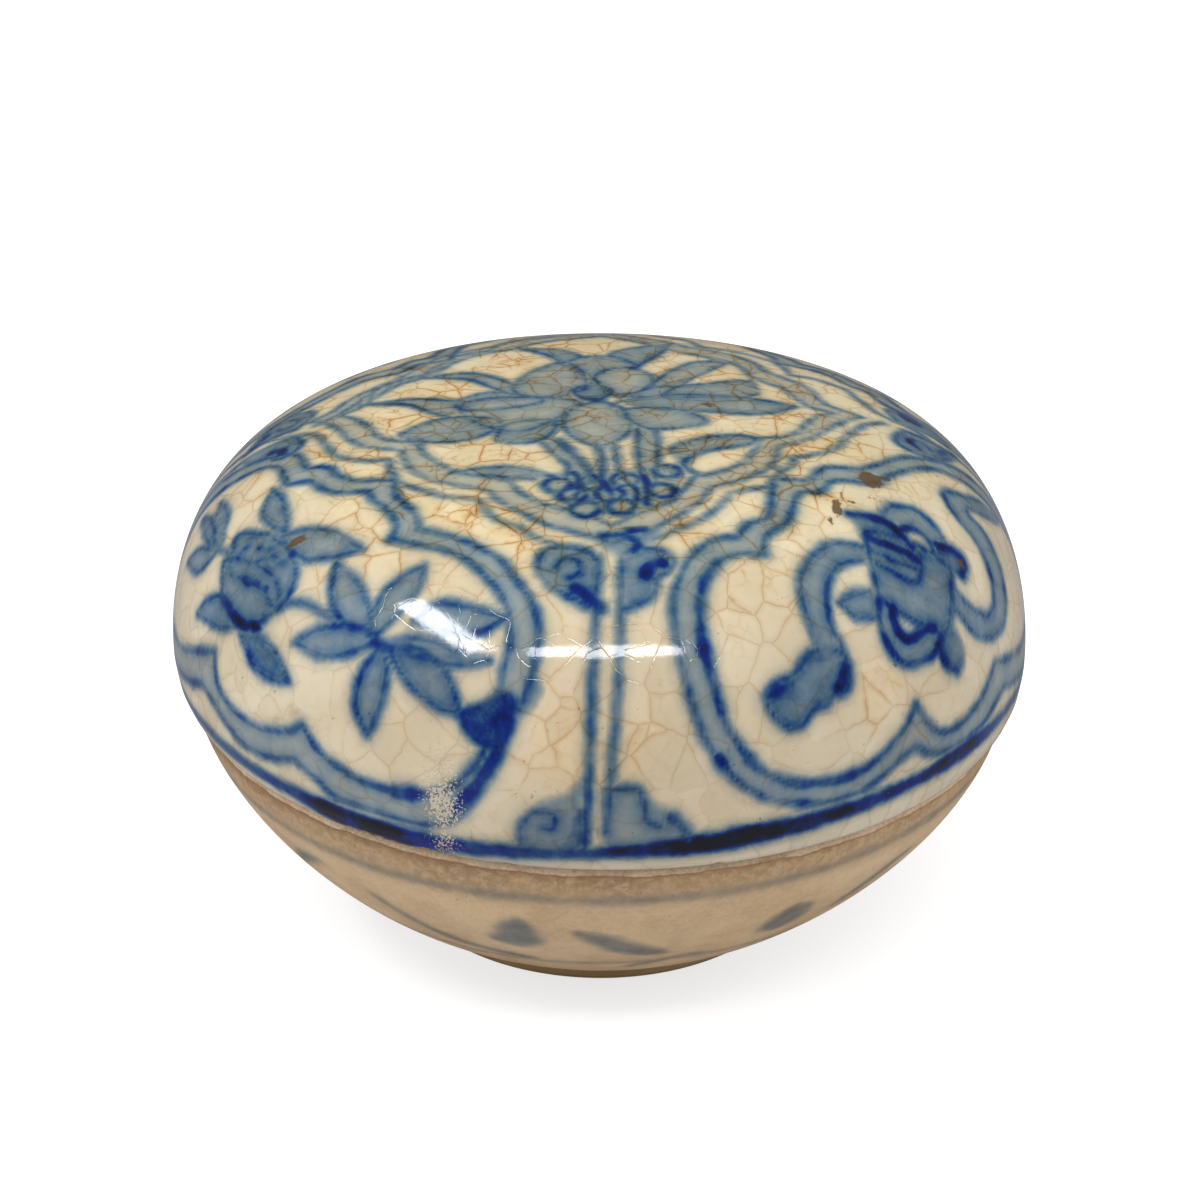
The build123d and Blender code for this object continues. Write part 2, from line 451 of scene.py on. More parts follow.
class Brushwork:
    """Strokes laid on a turned surface: how far outside each paint's edge a vertex is, and the load there.

    chart is where each vertex lies on the design and spots where it lies in space, both in millimetres.
    lift takes points of the design to space.
    """

    def __init__(self, chart, spots, lift, seed):
        self.chart = chart
        self.spots = spots
        self.lift = lift
        self.turn = 0.0
        self.random = np.random.default_rng(seed)
        self.edge = {"line": np.full(len(spots), FAR), "wash": np.full(len(spots), FAR)}
        self.load = {"line": np.zeros(len(spots)), "wash": np.zeros(len(spots))}

    def turned(self, points):
        cosine, sine = math.cos(self.turn), math.sin(self.turn)
        return points @ np.array([[cosine, sine], [-sine, cosine]])

    def near(self, way, margin):
        """The vertices inside the box round a way through space, a margin larger."""
        low, high = way.min(axis=0) - margin, way.max(axis=0) + margin
        return np.flatnonzero(np.all((self.spots > low) & (self.spots < high), axis=1))

    def distances(self, way, margin):
        """(vertices near a way, their distance to it, the share of the way along where that is)."""
        nearby = self.near(way, margin)
        start, step = way[:-1], np.diff(way, axis=0)
        size = np.maximum((step**2).sum(axis=1), 1e-9)
        gap = np.full(len(nearby), FAR)
        share = np.zeros(len(nearby))
        for number in range(len(start)):
            offset = self.spots[nearby] - start[number]
            along = np.clip(offset @ step[number] / size[number], 0, 1)
            distance = np.linalg.norm(offset - along[:, None] * step[number], axis=1)
            closer = distance < gap
            gap[closer] = distance[closer]
            share[closer] = (number + along[closer]) / len(start)
        return nearby, gap, share

    def lay(self, layer, vertices, edge, load):
        """Paint is laid where this stroke reaches further than what is there."""
        further = edge < self.edge[layer][vertices]
        self.edge[layer][vertices[further]] = edge[further]
        self.load[layer][vertices[further]] = np.broadcast_to(load, edge.shape)[further]

    def stroke(self, points, width=1.0, load=0.6, taper=0.0, closed=False, layer="line"):
        """One pull of the brush. load may be a pair, at its start and its end; taper thins both ends."""
        path = self.turned(smooth_path(points, closed))
        way = self.lift(path)
        vertices, gap, share = self.distances(way, REACH + width)
        knots = max(4, int(len(way) / 5))
        unsteady = np.interp(share, np.linspace(0, 1, knots), self.random.uniform(-1, 1, knots))
        press = 1 - taper * np.abs(2 * share - 1) ** 3
        first, last = load if isinstance(load, tuple) else (load, load)
        ink = (first + (last - first) * share) * (1 + 0.14 * unsteady)
        self.lay(layer, vertices, gap - width / 2 * press * (1 + 0.13 * unsteady), ink)

    def fill(self, loops, load=0.4, layer="wash"):
        """A patch of paint inside closed outlines; a second outline cuts a hole."""
        paths = [self.turned(smooth_path(loop, closed=True)) for loop in loops]
        ways = [self.lift(path) for path in paths]
        vertices = self.near(np.vstack(ways), REACH)
        x, y = self.chart[vertices].T
        within = np.zeros(len(vertices), bool)
        for path in paths:
            for (x1, y1), (x2, y2) in zip(path, np.roll(path, -1, axis=0)):
                if y1 != y2:
                    crosses = (y1 > y) != (y2 > y)
                    within ^= crosses & (x < (x2 - x1) * (y - y1) / (y2 - y1) + x1)
        place_of = np.full(len(self.spots), -1)
        place_of[vertices] = np.arange(len(vertices))
        gap = np.full(len(vertices), FAR)
        for way in ways:
            close, distance, _ = self.distances(way, REACH)
            known = place_of[close] >= 0
            spots = place_of[close[known]]
            gap[spots] = np.minimum(gap[spots], distance[known])
        self.lay(layer, vertices, np.where(within, -gap, gap), load)

    def blade(self, upper, lower, wash=0.4, width=0.95, load=0.6):
        """Two outlines and the wash between them."""
        self.fill([[*upper, *lower]], wash)
        for outline in (upper, lower):
            self.stroke(outline, width, load, taper=0.35)

    def leaf(self, upper, lower, wash=0.4, width=0.95, load=0.6):
        """A blade whose lower outline leads from the upper one's end back to its start."""
        self.blade(upper, [upper[-1], *lower, upper[0]], wash, width, load)

    def petal(self, outline, wash=0.4, width=0.9, load=0.6):
        """A petal with one closed outline."""
        self.fill([outline], wash)
        self.stroke(outline, width, load, closed=True)

    def band(self, outer, inner, wash=0.27, width=1.0, load=0.62):
        """A border of two lines with wash between them."""
        self.fill([outer, inner], wash)
        for outline in (outer, inner):
            self.stroke(outline, width, load, closed=True)


# ---------------------------------------------------------------- the cover's painting


def paint_medallion(brush):
    """The lobed border round the crown, two lines with wash between, and a thin line outside it."""
    outer = [
        (-40, 1.5), (-38, 0), (-36.5, -2), (-35, -4.5), (-34, -7), (-32.5, -9.5), (-30.5, -11.5),
        (-26, -13.6), (-26, -13.6), (-25, -17.5), (-24, -20), (-22.5, -22), (-20.5, -23.7), (-18, -25),
        (-13.8, -27), (-13.8, -27), (-13, -28.8), (-10.5, -32), (-7, -35.3), (-4, -37), (1.5, -39.5),
        (1.5, -39.5), (5, -38), (8, -35), (10, -33), (12, -30.5), (14, -26), (14, -26), (18.5, -23),
        (21, -20.5), (22.5, -17.5), (23.5, -12.5), (23.5, -12.5), (25.5, -11), (28, -9), (30, -6.5),
        (33.5, -1.5), (36, 1), (36, 1), (32, 3.5), (30.5, 6), (30, 9), (28.5, 12), (25, 16), (25, 16),
        (23.5, 18), (22.5, 21), (20.5, 24), (17, 26.5), (13, 28.5), (13, 28.5), (10, 31.5), (6, 34.5),
        (0, 39.5), (0, 39.5), (-5, 37), (-10, 34.5), (-14, 32), (-16, 29.5), (-16, 29.5), (-19, 28),
        (-22.5, 26), (-25, 23), (-26, 20), (-29.5, 14.5), (-29.5, 14.5), (-32, 11.5), (-35, 8), (-37, 4),
        (-40, 1.5),
    ]
    inner = [
        (-35.7, 1.4), (-33, -1.5), (-31.5, -4), (-30.5, -6), (-29.5, -8.5), (-27.5, -10), (-24, -11),
        (-24, -11), (-23, -15), (-21.5, -17.5), (-20, -19.5), (-18, -21.2), (-16, -22.3), (-11.5, -24.5),
        (-11.5, -24.5), (-10, -27.8), (-8, -30), (-6, -31.5), (-3, -33), (1.5, -36), (1.5, -36), (4.5, -33.5),
        (7, -31.5), (9, -30), (10, -28), (12, -23), (12, -23), (14.5, -22), (17, -20), (19, -17.5),
        (20, -14.5), (21.7, -9.8), (21.7, -9.8), (24.5, -9), (26.5, -7), (28, -4), (29.5, -1), (31.7, 1),
        (31.7, 1), (29, 2.5), (28, 4.5), (26.5, 7.5), (25.5, 10), (21.5, 14), (21.5, 14), (20.6, 18),
        (19.3, 20.5), (17, 22.5), (11, 26), (11, 26), (8, 29), (5, 31.5), (0, 35.5), (0, 35.5), (-3, 33.8),
        (-7, 32), (-11, 29.5), (-13.5, 27), (-13.5, 27), (-16.5, 25.7), (-19.5, 23.5), (-21.5, 21), (-23, 18),
        (-26, 14), (-26, 14), (-29, 11.5), (-31, 8), (-33, 4), (-35.7, 1.4),
    ]
    brush.band(outer, inner, wash=0.17, width=0.65, load=0.57)
    brush.fill([[(-34, 42), (-14, 56), (14, 56), (34, 42), (26, 36), (8, 42), (-8, 42), (-26, 36)]], 0.2)
    left = [
        (-47, 0.5), (-44, -1.5), (-41, -2.5), (-38.5, -4.5), (-37.3, -7), (-36, -10), (-35, -12.5),
        (-33, -14.3), (-30.5, -15.8), (-27.5, -16.3), (-27.5, -16.3), (-26.7, -20), (-25.8, -22.5),
        (-24, -24.5), (-22, -26), (-19.5, -27.7), (-15, -29.3), (-15, -29.3), (-14.5, -31), (-13.5, -33),
        (-12.3, -34.5), (-9.5, -36.3), (-8, -38), (-6, -39.5), (-3.5, -40.2),
    ]
    right = [
        (6, -39), (9.5, -36.5), (12, -34.5), (14, -32), (15.5, -29.5), (16.2, -27.5), (16.2, -27.5),
        (20, -25.5), (21.8, -24.5), (22.5, -22.5), (23, -20.5), (24.5, -18.5), (25.2, -16), (25.2, -16),
        (28, -14.5), (30.5, -12.5), (32, -10), (33, -7.5), (34.5, -4.5), (36.5, -1.5), (39, 0.5),
    ]
    for brush.turn in (math.pi, 0.0):
        brush.stroke(left, 0.75, 0.52)
        brush.stroke(right, 0.75, 0.52)


def paint_great_flower(brush):
    """The open flower on the crown, with its stems, buds and curling leaves."""
    for outline, wash in (
        ([(-1.5, 11), (-3, 16), (-4.5, 20), (-2, 22.7), (2, 22.7), (5.5, 18), (2, 17.3), (0, 15)], 0.5),
        ([(-2.5, 8), (-6, 5.5), (-11, 6), (-12, 10), (-9.5, 16), (-5.5, 20), (-3, 17), (-2, 12)], 0.46),
        ([(0, 10.5), (-0.8, 13.5), (1, 16.8), (4, 17.3), (7, 14.5), (7.2, 10.5), (5, 7.2), (2, 6.5)], 0.4),
        ([(2, 5.5), (9, 6), (9.5, 10), (7.5, 9.5), (5, 7)], 0.5),
        ([(9, 5.5), (11, 9.5), (16, 11), (20.5, 12.5), (22, 9), (21, 6), (15, 5.5)], 0.52),
        ([(7.5, 10), (9.5, 15), (12, 18.5), (14.5, 20.8), (18, 20.3), (16, 17), (13, 13), (11, 9.5)], 0.42),
        ([(-12, 6.5), (-16, 7), (-20, 3), (-18, 0), (-12, 1), (-8, 4)], 0.55),
        ([(-3, 3.5), (-8, 5), (-14, 5), (-18, 3.5), (-19, 0), (-17, -4), (-13, -7.5), (-9, -7), (-4, 0)],
         0.42),
        ([(-6, -4), (-10, -4), (-13, -6), (-13.3, -11), (-9.5, -12), (-6.8, -9.5)], 0.55),
        ([(-14, -3.5), (-20, -2.5), (-24, -5), (-26.3, -8.5), (-23, -11), (-18, -11), (-14.5, -8)], 0.55),
        ([(3.5, 0), (4, -3.5), (6, -6.5), (9, -7), (14, -4.8), (13, -1.5), (10, 0.5), (6, 1)], 0.48),
        ([(0, 3.2), (-3, 1.5), (-4.7, -2), (-4.8, -6), (-3.5, -10), (-0.5, -13), (2, -11.5), (3.8, -8),
          (4, -4), (3, 0.5)], 0.4),
    ):
        brush.petal(outline, wash * 0.78, width=0.65, load=0.64)
    brush.blade([(2.5, 3.5), (8, 5.8), (14, 6.2), (20, 5.3), (27, 2.3)],
                [(27, 2.3), (22, -1), (14, -0.3), (6, 1)], 0.48)
    brush.blade([(-2, 22), (-6, 26), (-12, 27.5)], [(-12, 27.5), (-8, 24), (-5.5, 19.5)], 0.45)
    brush.blade([(0, 22), (4, 26.5), (10.5, 30)], [(10.5, 30), (9, 25), (5, 17.5)], 0.45)
    brush.blade([(-12, 10), (-16, 14.3), (-20, 15.7), (-25, 14.2)],
                [(-25, 14.2), (-19, 13), (-15.5, 9.5), (-13, 7)], 0.36)
    brush.blade([(-19, 3.5), (-25, 5), (-33, 4.5)], [(-33, 4.5), (-27, 3.2), (-23.5, 0), (-20, -3)], 0.34)
    brush.petal([(-3.7, 7.5), (-1, 10.6), (1.8, 7.5), (-1, 4)], 0.55, width=0.8, load=0.66)
    brush.stroke([(-2, 4.4), (0.2, 4.2)], 1.6, 0.7)
    brush.blade([(9, -15.5), (10, -13), (13, -10.7), (17, -9.2), (21, -9.8)],
                [(21, -9.8), (19.5, -12.3), (15, -14), (12, -16.5), (10.5, -18.5)], 0.38)
    brush.blade([(-19, -21.4), (-14, -20.2), (-10, -20.6), (-4.5, -24.3)],
                [(-19, -21.4), (-14, -22.8), (-8.5, -24)], 0.38)
    brush.stroke([(11, -17.5), (11, -20.5), (13, -22.6), (15.5, -21.4)], 0.95, 0.6)
    for stem, width, load in (
        ([(-8, -11), (-6, -16), (-4, -20), (-4.3, -24)], 0.75, 0.55),
        ([(-5.5, -11), (-3.5, -16), (-1.5, -21), (-1, -25)], 1.5, 0.5),
        ([(-0.5, -12.5), (0.3, -18), (0, -25)], 1.3, 0.55),
        ([(1.8, -12), (2.2, -18), (2.5, -24)], 1.1, 0.5),
        ([(5, -7), (5, -15), (5.2, -24)], 0.85, 0.58),
        ([(7.4, -7), (7.5, -15), (7, -24)], 0.85, 0.55),
    ):
        brush.stroke(stem, width, load)
    brush.fill([[(-7, -12), (-3, -22), (-1, -22), (-4, -12)], [(5, -8), (5.2, -22), (7, -22), (7.3, -8)]],
               0.3)
    turns = np.arange(6) * math.tau / 6
    for x, y in (
        (-5.3, -25.8), (-1.2, -25.3), (3.2, -24.2), (8.5, -21.5), (7.8, -27.3), (1.2, -28.3), (-1.8, -32.3),
        (2.6, -31.7), (-3.4, -28.6),
    ):
        circle = [(x + 1.7 * math.cos(turn), y + 1.9 * math.sin(turn)) for turn in turns]
        brush.petal(circle, 0.5, width=1.0, load=0.7)
    brush.stroke([(-1, -23), (0.5, -25.5), (1.5, -29)], 1.5, 0.72)
    brush.stroke([(5.5, -23), (6, -27), (5.8, -31)], 1.3, 0.7)
    brush.fill([[(-7, -24), (-3, -21), (3, -21.5), (7, -19.5), (10.5, -23), (9, -29), (3, -34), (-3, -34),
                 (-6, -29)]], 0.26)
    brush.stroke([(-3.4, -22), (-2.2, -25.5), (-3, -29)], 1.0, 0.66)
    brush.stroke([(2.2, -23), (4.4, -26.5), (4.6, -30)], 1.1, 0.7)
    brush.fill([[(-0.8, -38), (2, -36.4), (5, -35.6), (8, -36.2), (6.4, -39), (4.5, -41.4), (2.8, -42.2),
                 (0.6, -40.6)]], 0.46)
    brush.stroke([(0.4, -38.2), (2.6, -38), (4.6, -39.4), (4, -41)], 1.6, (0.6, 0.8))
    brush.stroke([(3.2, -37.2), (5.6, -36.8)], 1.2, 0.66)


def paint_divider(brush):
    """Two fine lines down the side between two panels, with curled heads at top and bottom."""
    brush.fill([[(-7, -41), (-7.2, -44), (-6, -46.3), (-4, -48), (-1, -50), (0, -49), (0, -45), (-0.7, -42),
                 (-3, -40.5)]], 0.48)
    brush.stroke([(0, -45), (-0.7, -42), (-3, -40.5), (-6, -40.3), (-7.2, -42), (-7.2, -44), (-6, -46.3),
                  (-4, -48), (-1, -50)], 0.9, 0.62)
    brush.stroke([(-5.4, -43.6), (-4.3, -42.3), (-2.8, -42.7), (-2.4, -44.4), (-3.6, -45.4)], 1.0, 0.7)
    brush.stroke([(-3, -47), (-1, -48.5), (0, -50)], 1.7, 0.66)
    brush.fill([[(2.7, -42), (4, -41), (6.5, -40.5), (8.7, -42), (8.5, -43.8), (7, -45), (6.2, -48),
                 (4.3, -49.7), (3, -49.7), (2.7, -46)]], 0.5)
    brush.stroke([(3, -41.5), (6.5, -40.4), (8.7, -42), (8.4, -44), (7, -45), (6.2, -48), (3, -49.8)], 0.9,
                 0.62)
    brush.stroke([(7.6, -42.8), (6, -43.3), (5.4, -44.8)], 1.8, 0.78)
    brush.stroke([(-0.3, -42), (-0.5, -50), (-1, -60), (-1.6, -70), (-2.3, -79.5)], 1.0, (0.55, 0.68))
    brush.stroke([(2.6, -42), (2.5, -50), (2.2, -60), (1.5, -70), (0.9, -77)], 0.95, 0.56)
    brush.fill([[(-12.5, -79.5), (-12.3, -76.5), (-10.5, -74.3), (-8, -73), (-5, -72), (-2.5, -70.3),
                 (-2.5, -70.3), (-2.3, -79.8), (-2.3, -79.8)]], 0.44)
    brush.fill([[(1, -71.5), (3, -71.3), (5, -71), (7, -72.7), (10, -73.7), (12.5, -75.3), (13.8, -77.3),
                 (6, -79), (1, -79.5)]], 0.36)
    brush.stroke([(-12, -79), (-12.3, -76.5), (-10.5, -74.5), (-8, -74), (-6.6, -75.2), (-7.3, -76.6),
                  (-8.7, -76.2)], 0.95, 0.62)
    brush.fill([[(-6, -75.5), (-2.6, -73.5), (-2.5, -79.5), (-7, -79.5)]], 0.6)
    brush.stroke([(1, -71.6), (5, -71.1), (6.3, -73), (7, -75), (8.7, -75.8)], 1.0, (0.5, 0.64))
    brush.stroke([(10.5, -74.6), (12.8, -76), (13.6, -77.4)], 1.6, 0.6)


def paint_flower_panel(brush):
    """The panel with a dotted bud, a sprig and an eight-petalled flower."""
    outer = [
        (-66, -3.5), (-60, -2.8), (-55, -3.5), (-50, -5), (-46, -6.5), (-42, -8.5), (-40, -10.5),
        (-38.5, -14.7), (-38.5, -14.7), (-36, -15.5), (-34.5, -17.8), (-33, -19.8), (-31, -21.3), (-28, -22),
        (-26, -22.5), (-26, -22.5), (-25.8, -26), (-24.5, -28.5), (-23, -31), (-22.3, -34.5), (-22.3, -34.5),
        (-20, -35.8), (-17, -37.5), (-14.5, -39.5), (-12, -42), (-10, -45.5), (-8.3, -48.5), (-7.5, -52),
        (-8, -56), (-9.5, -60), (-12, -64), (-14, -67), (-17, -70.5), (-21, -73.3), (-25, -74), (-29, -73.2),
        (-33, -71.3), (-38, -68.5), (-42, -66), (-44, -63), (-47.5, -58.5), (-47.5, -58.5), (-50, -57.5),
        (-54, -55), (-58, -51), (-60, -47), (-61.5, -43), (-63, -38), (-63, -38), (-68, -33), (-72, -27),
        (-74.5, -20), (-75, -13), (-73, -8), (-70, -5), (-66, -3.5),
    ]
    inner = [
        (-64, -7.5), (-59, -6.5), (-54, -7), (-49, -8.5), (-45, -9.5), (-42.5, -12.5), (-41.8, -15),
        (-41, -17.4), (-41, -17.4), (-37.8, -18.5), (-36, -21), (-34, -22.8), (-32, -23.7), (-29.5, -24.3),
        (-29.5, -24.3), (-28.3, -27), (-26.3, -30), (-25.2, -33), (-25.8, -35.4), (-25.8, -35.4),
        (-23.5, -36.8), (-20, -38.6), (-17.5, -40), (-15.5, -42), (-13, -45.5), (-11.2, -49), (-10.9, -53),
        (-12, -57), (-13.3, -61), (-15, -65), (-18, -68), (-21, -69.5), (-25.5, -69.8), (-30, -68.6),
        (-34, -66.7), (-37.5, -64.3), (-40, -62), (-42, -59), (-43, -55.6), (-43, -55.6), (-46, -55.2),
        (-49, -53.8), (-52, -52), (-55, -49), (-57.5, -45.5), (-58.7, -42), (-58.3, -39.5), (-56.8, -37),
        (-56.8, -37), (-60, -34.5), (-64, -31), (-68, -26.5), (-70.5, -21), (-71.5, -15.5), (-70, -11),
        (-67.5, -8.5), (-64, -7.5),
    ]
    brush.band(outer, inner)
    brush.fill([[(-18.5, -61), (-15, -60), (-11.3, -59.3), (-10.5, -62), (-11.8, -65), (-14.5, -66),
                 (-17, -64.6)]], 0.74, layer="line")
    brush.stroke([(-12.5, -64), (-14.5, -67), (-17.5, -70), (-22, -72.7)], 2.0, (0.76, 0.68))
    brush.fill([[(-10, -57.5), (-8, -58), (-7.5, -60), (-10, -62)]], 0.5)
    brush.stroke([(-30.3, -68.6), (-27, -69.6)], 2.0, 0.74)

    # Sprig at the far end of the panel
    brush.leaf([(-53, -22.5), (-58, -21.5), (-61.5, -15)], [(-57, -17.5)], 0.4)
    brush.leaf([(-53, -22), (-56, -16), (-57.5, -9.5)], [(-54.5, -14)], 0.42)
    brush.blade([(-52.5, -22.5), (-54, -16), (-53, -11)], [(-53, -11), (-51, -16), (-52, -22.5)], 0.42)
    brush.stroke([(-55.5, -17.5), (-53.5, -21), (-51.5, -23.5), (-49.8, -26)], 1.0, 0.55)

    # Dotted bud with its leaves
    brush.leaf([(-50, -37.5), (-54, -35.2), (-57.5, -31), (-59.7, -28)], [(-56, -28.8), (-52, -31.5)], 0.46)
    brush.petal([(-50.2, -29), (-49.6, -25), (-48.6, -22.9), (-45.5, -24.9), (-42.5, -27.5), (-40.3, -31),
                 (-39, -35), (-40, -38.2), (-43, -39.4), (-45, -34)], 0.46, load=0.64)
    brush.petal([(-52.3, -31), (-51.8, -26.8), (-50.8, -25.7), (-47, -29), (-43.8, -32.7), (-42, -36),
                 (-42.3, -38.8), (-45, -39.8), (-48.5, -38.5), (-51, -35)], 0.44, load=0.66)
    brush.stroke([(-52.7, -30.5), (-51.3, -34.3), (-49.5, -37.8), (-46.5, -40)], 1.5, (0.62, 0.84))
    brush.stroke([(-48.6, -30.8), (-46.8, -33)], 1.1, 0.62)
    brush.stroke([(-45.8, -33.6), (-44, -35.6)], 1.2, 0.66)
    for x, y in (
        (-46.7, -26.7), (-44.9, -28.2), (-43.2, -29.6), (-42.2, -31.4), (-41.2, -33.2), (-44.4, -30.6),
    ):
        brush.stroke([(x - 0.3, y + 0.2), (x + 0.3, y - 0.2)], 0.85, 0.72)
    brush.leaf([(-50.2, -38), (-46.8, -41), (-44.2, -45), (-43, -49.7)], [(-46.5, -47.5), (-49, -44)], 0.62,
               load=0.68)
    brush.leaf([(-40.3, -28.3), (-40.7, -24), (-41.7, -20), (-43.2, -17)], [(-44.3, -21), (-43.3, -24.5)],
               0.4)
    brush.leaf([(-41, -28.5), (-37, -29.3), (-33, -32), (-29.5, -36.2)], [(-34, -35.8), (-38.5, -33.5)],
               0.42)
    brush.stroke([(-45.5, -39.6), (-41, -39.6), (-37.5, -41.3), (-35, -44), (-32, -47), (-28.5, -49.5)],
                 0.95, 0.58)

    # Open flower
    for upper, lower, wash in (
        ([(-28, -50), (-32, -46.6), (-36, -45.4), (-40.6, -45.2)], [(-37, -48.6), (-33, -50)], 0.42),
        ([(-28.5, -48.5), (-32.6, -45.8), (-33.9, -42), (-33, -37)], [(-30.3, -41), (-28.9, -45)], 0.38),
        ([(-28, -49), (-27.5, -45), (-25, -42.6), (-21.4, -41.2)], [(-22.3, -44.5), (-25, -47.3)], 0.4),
        ([(-23, -48.6), (-19.5, -47.2), (-16, -48.4), (-11.3, -50.4)], [(-15, -51.9), (-19, -51)], 0.38),
        ([(-26.5, -50.3), (-21.5, -51.3), (-18, -53.4), (-13.6, -55.3)], [(-18, -55.3), (-22.5, -53.5)], 0.4),
        ([(-27, -50.5), (-22.5, -52.5), (-19.5, -56), (-18, -61.5)], [(-22, -59.2), (-25.3, -55)], 0.5),
        ([(-27.5, -50.5), (-31, -53), (-33, -56.5), (-32.4, -60.7)], [(-29.2, -57.5), (-27.4, -54)], 0.44),
    ):
        brush.leaf(upper, lower, wash, width=1.05, load=0.64)
    brush.stroke([(-28.5, -50), (-26.4, -51.4)], 2.0, 0.74)


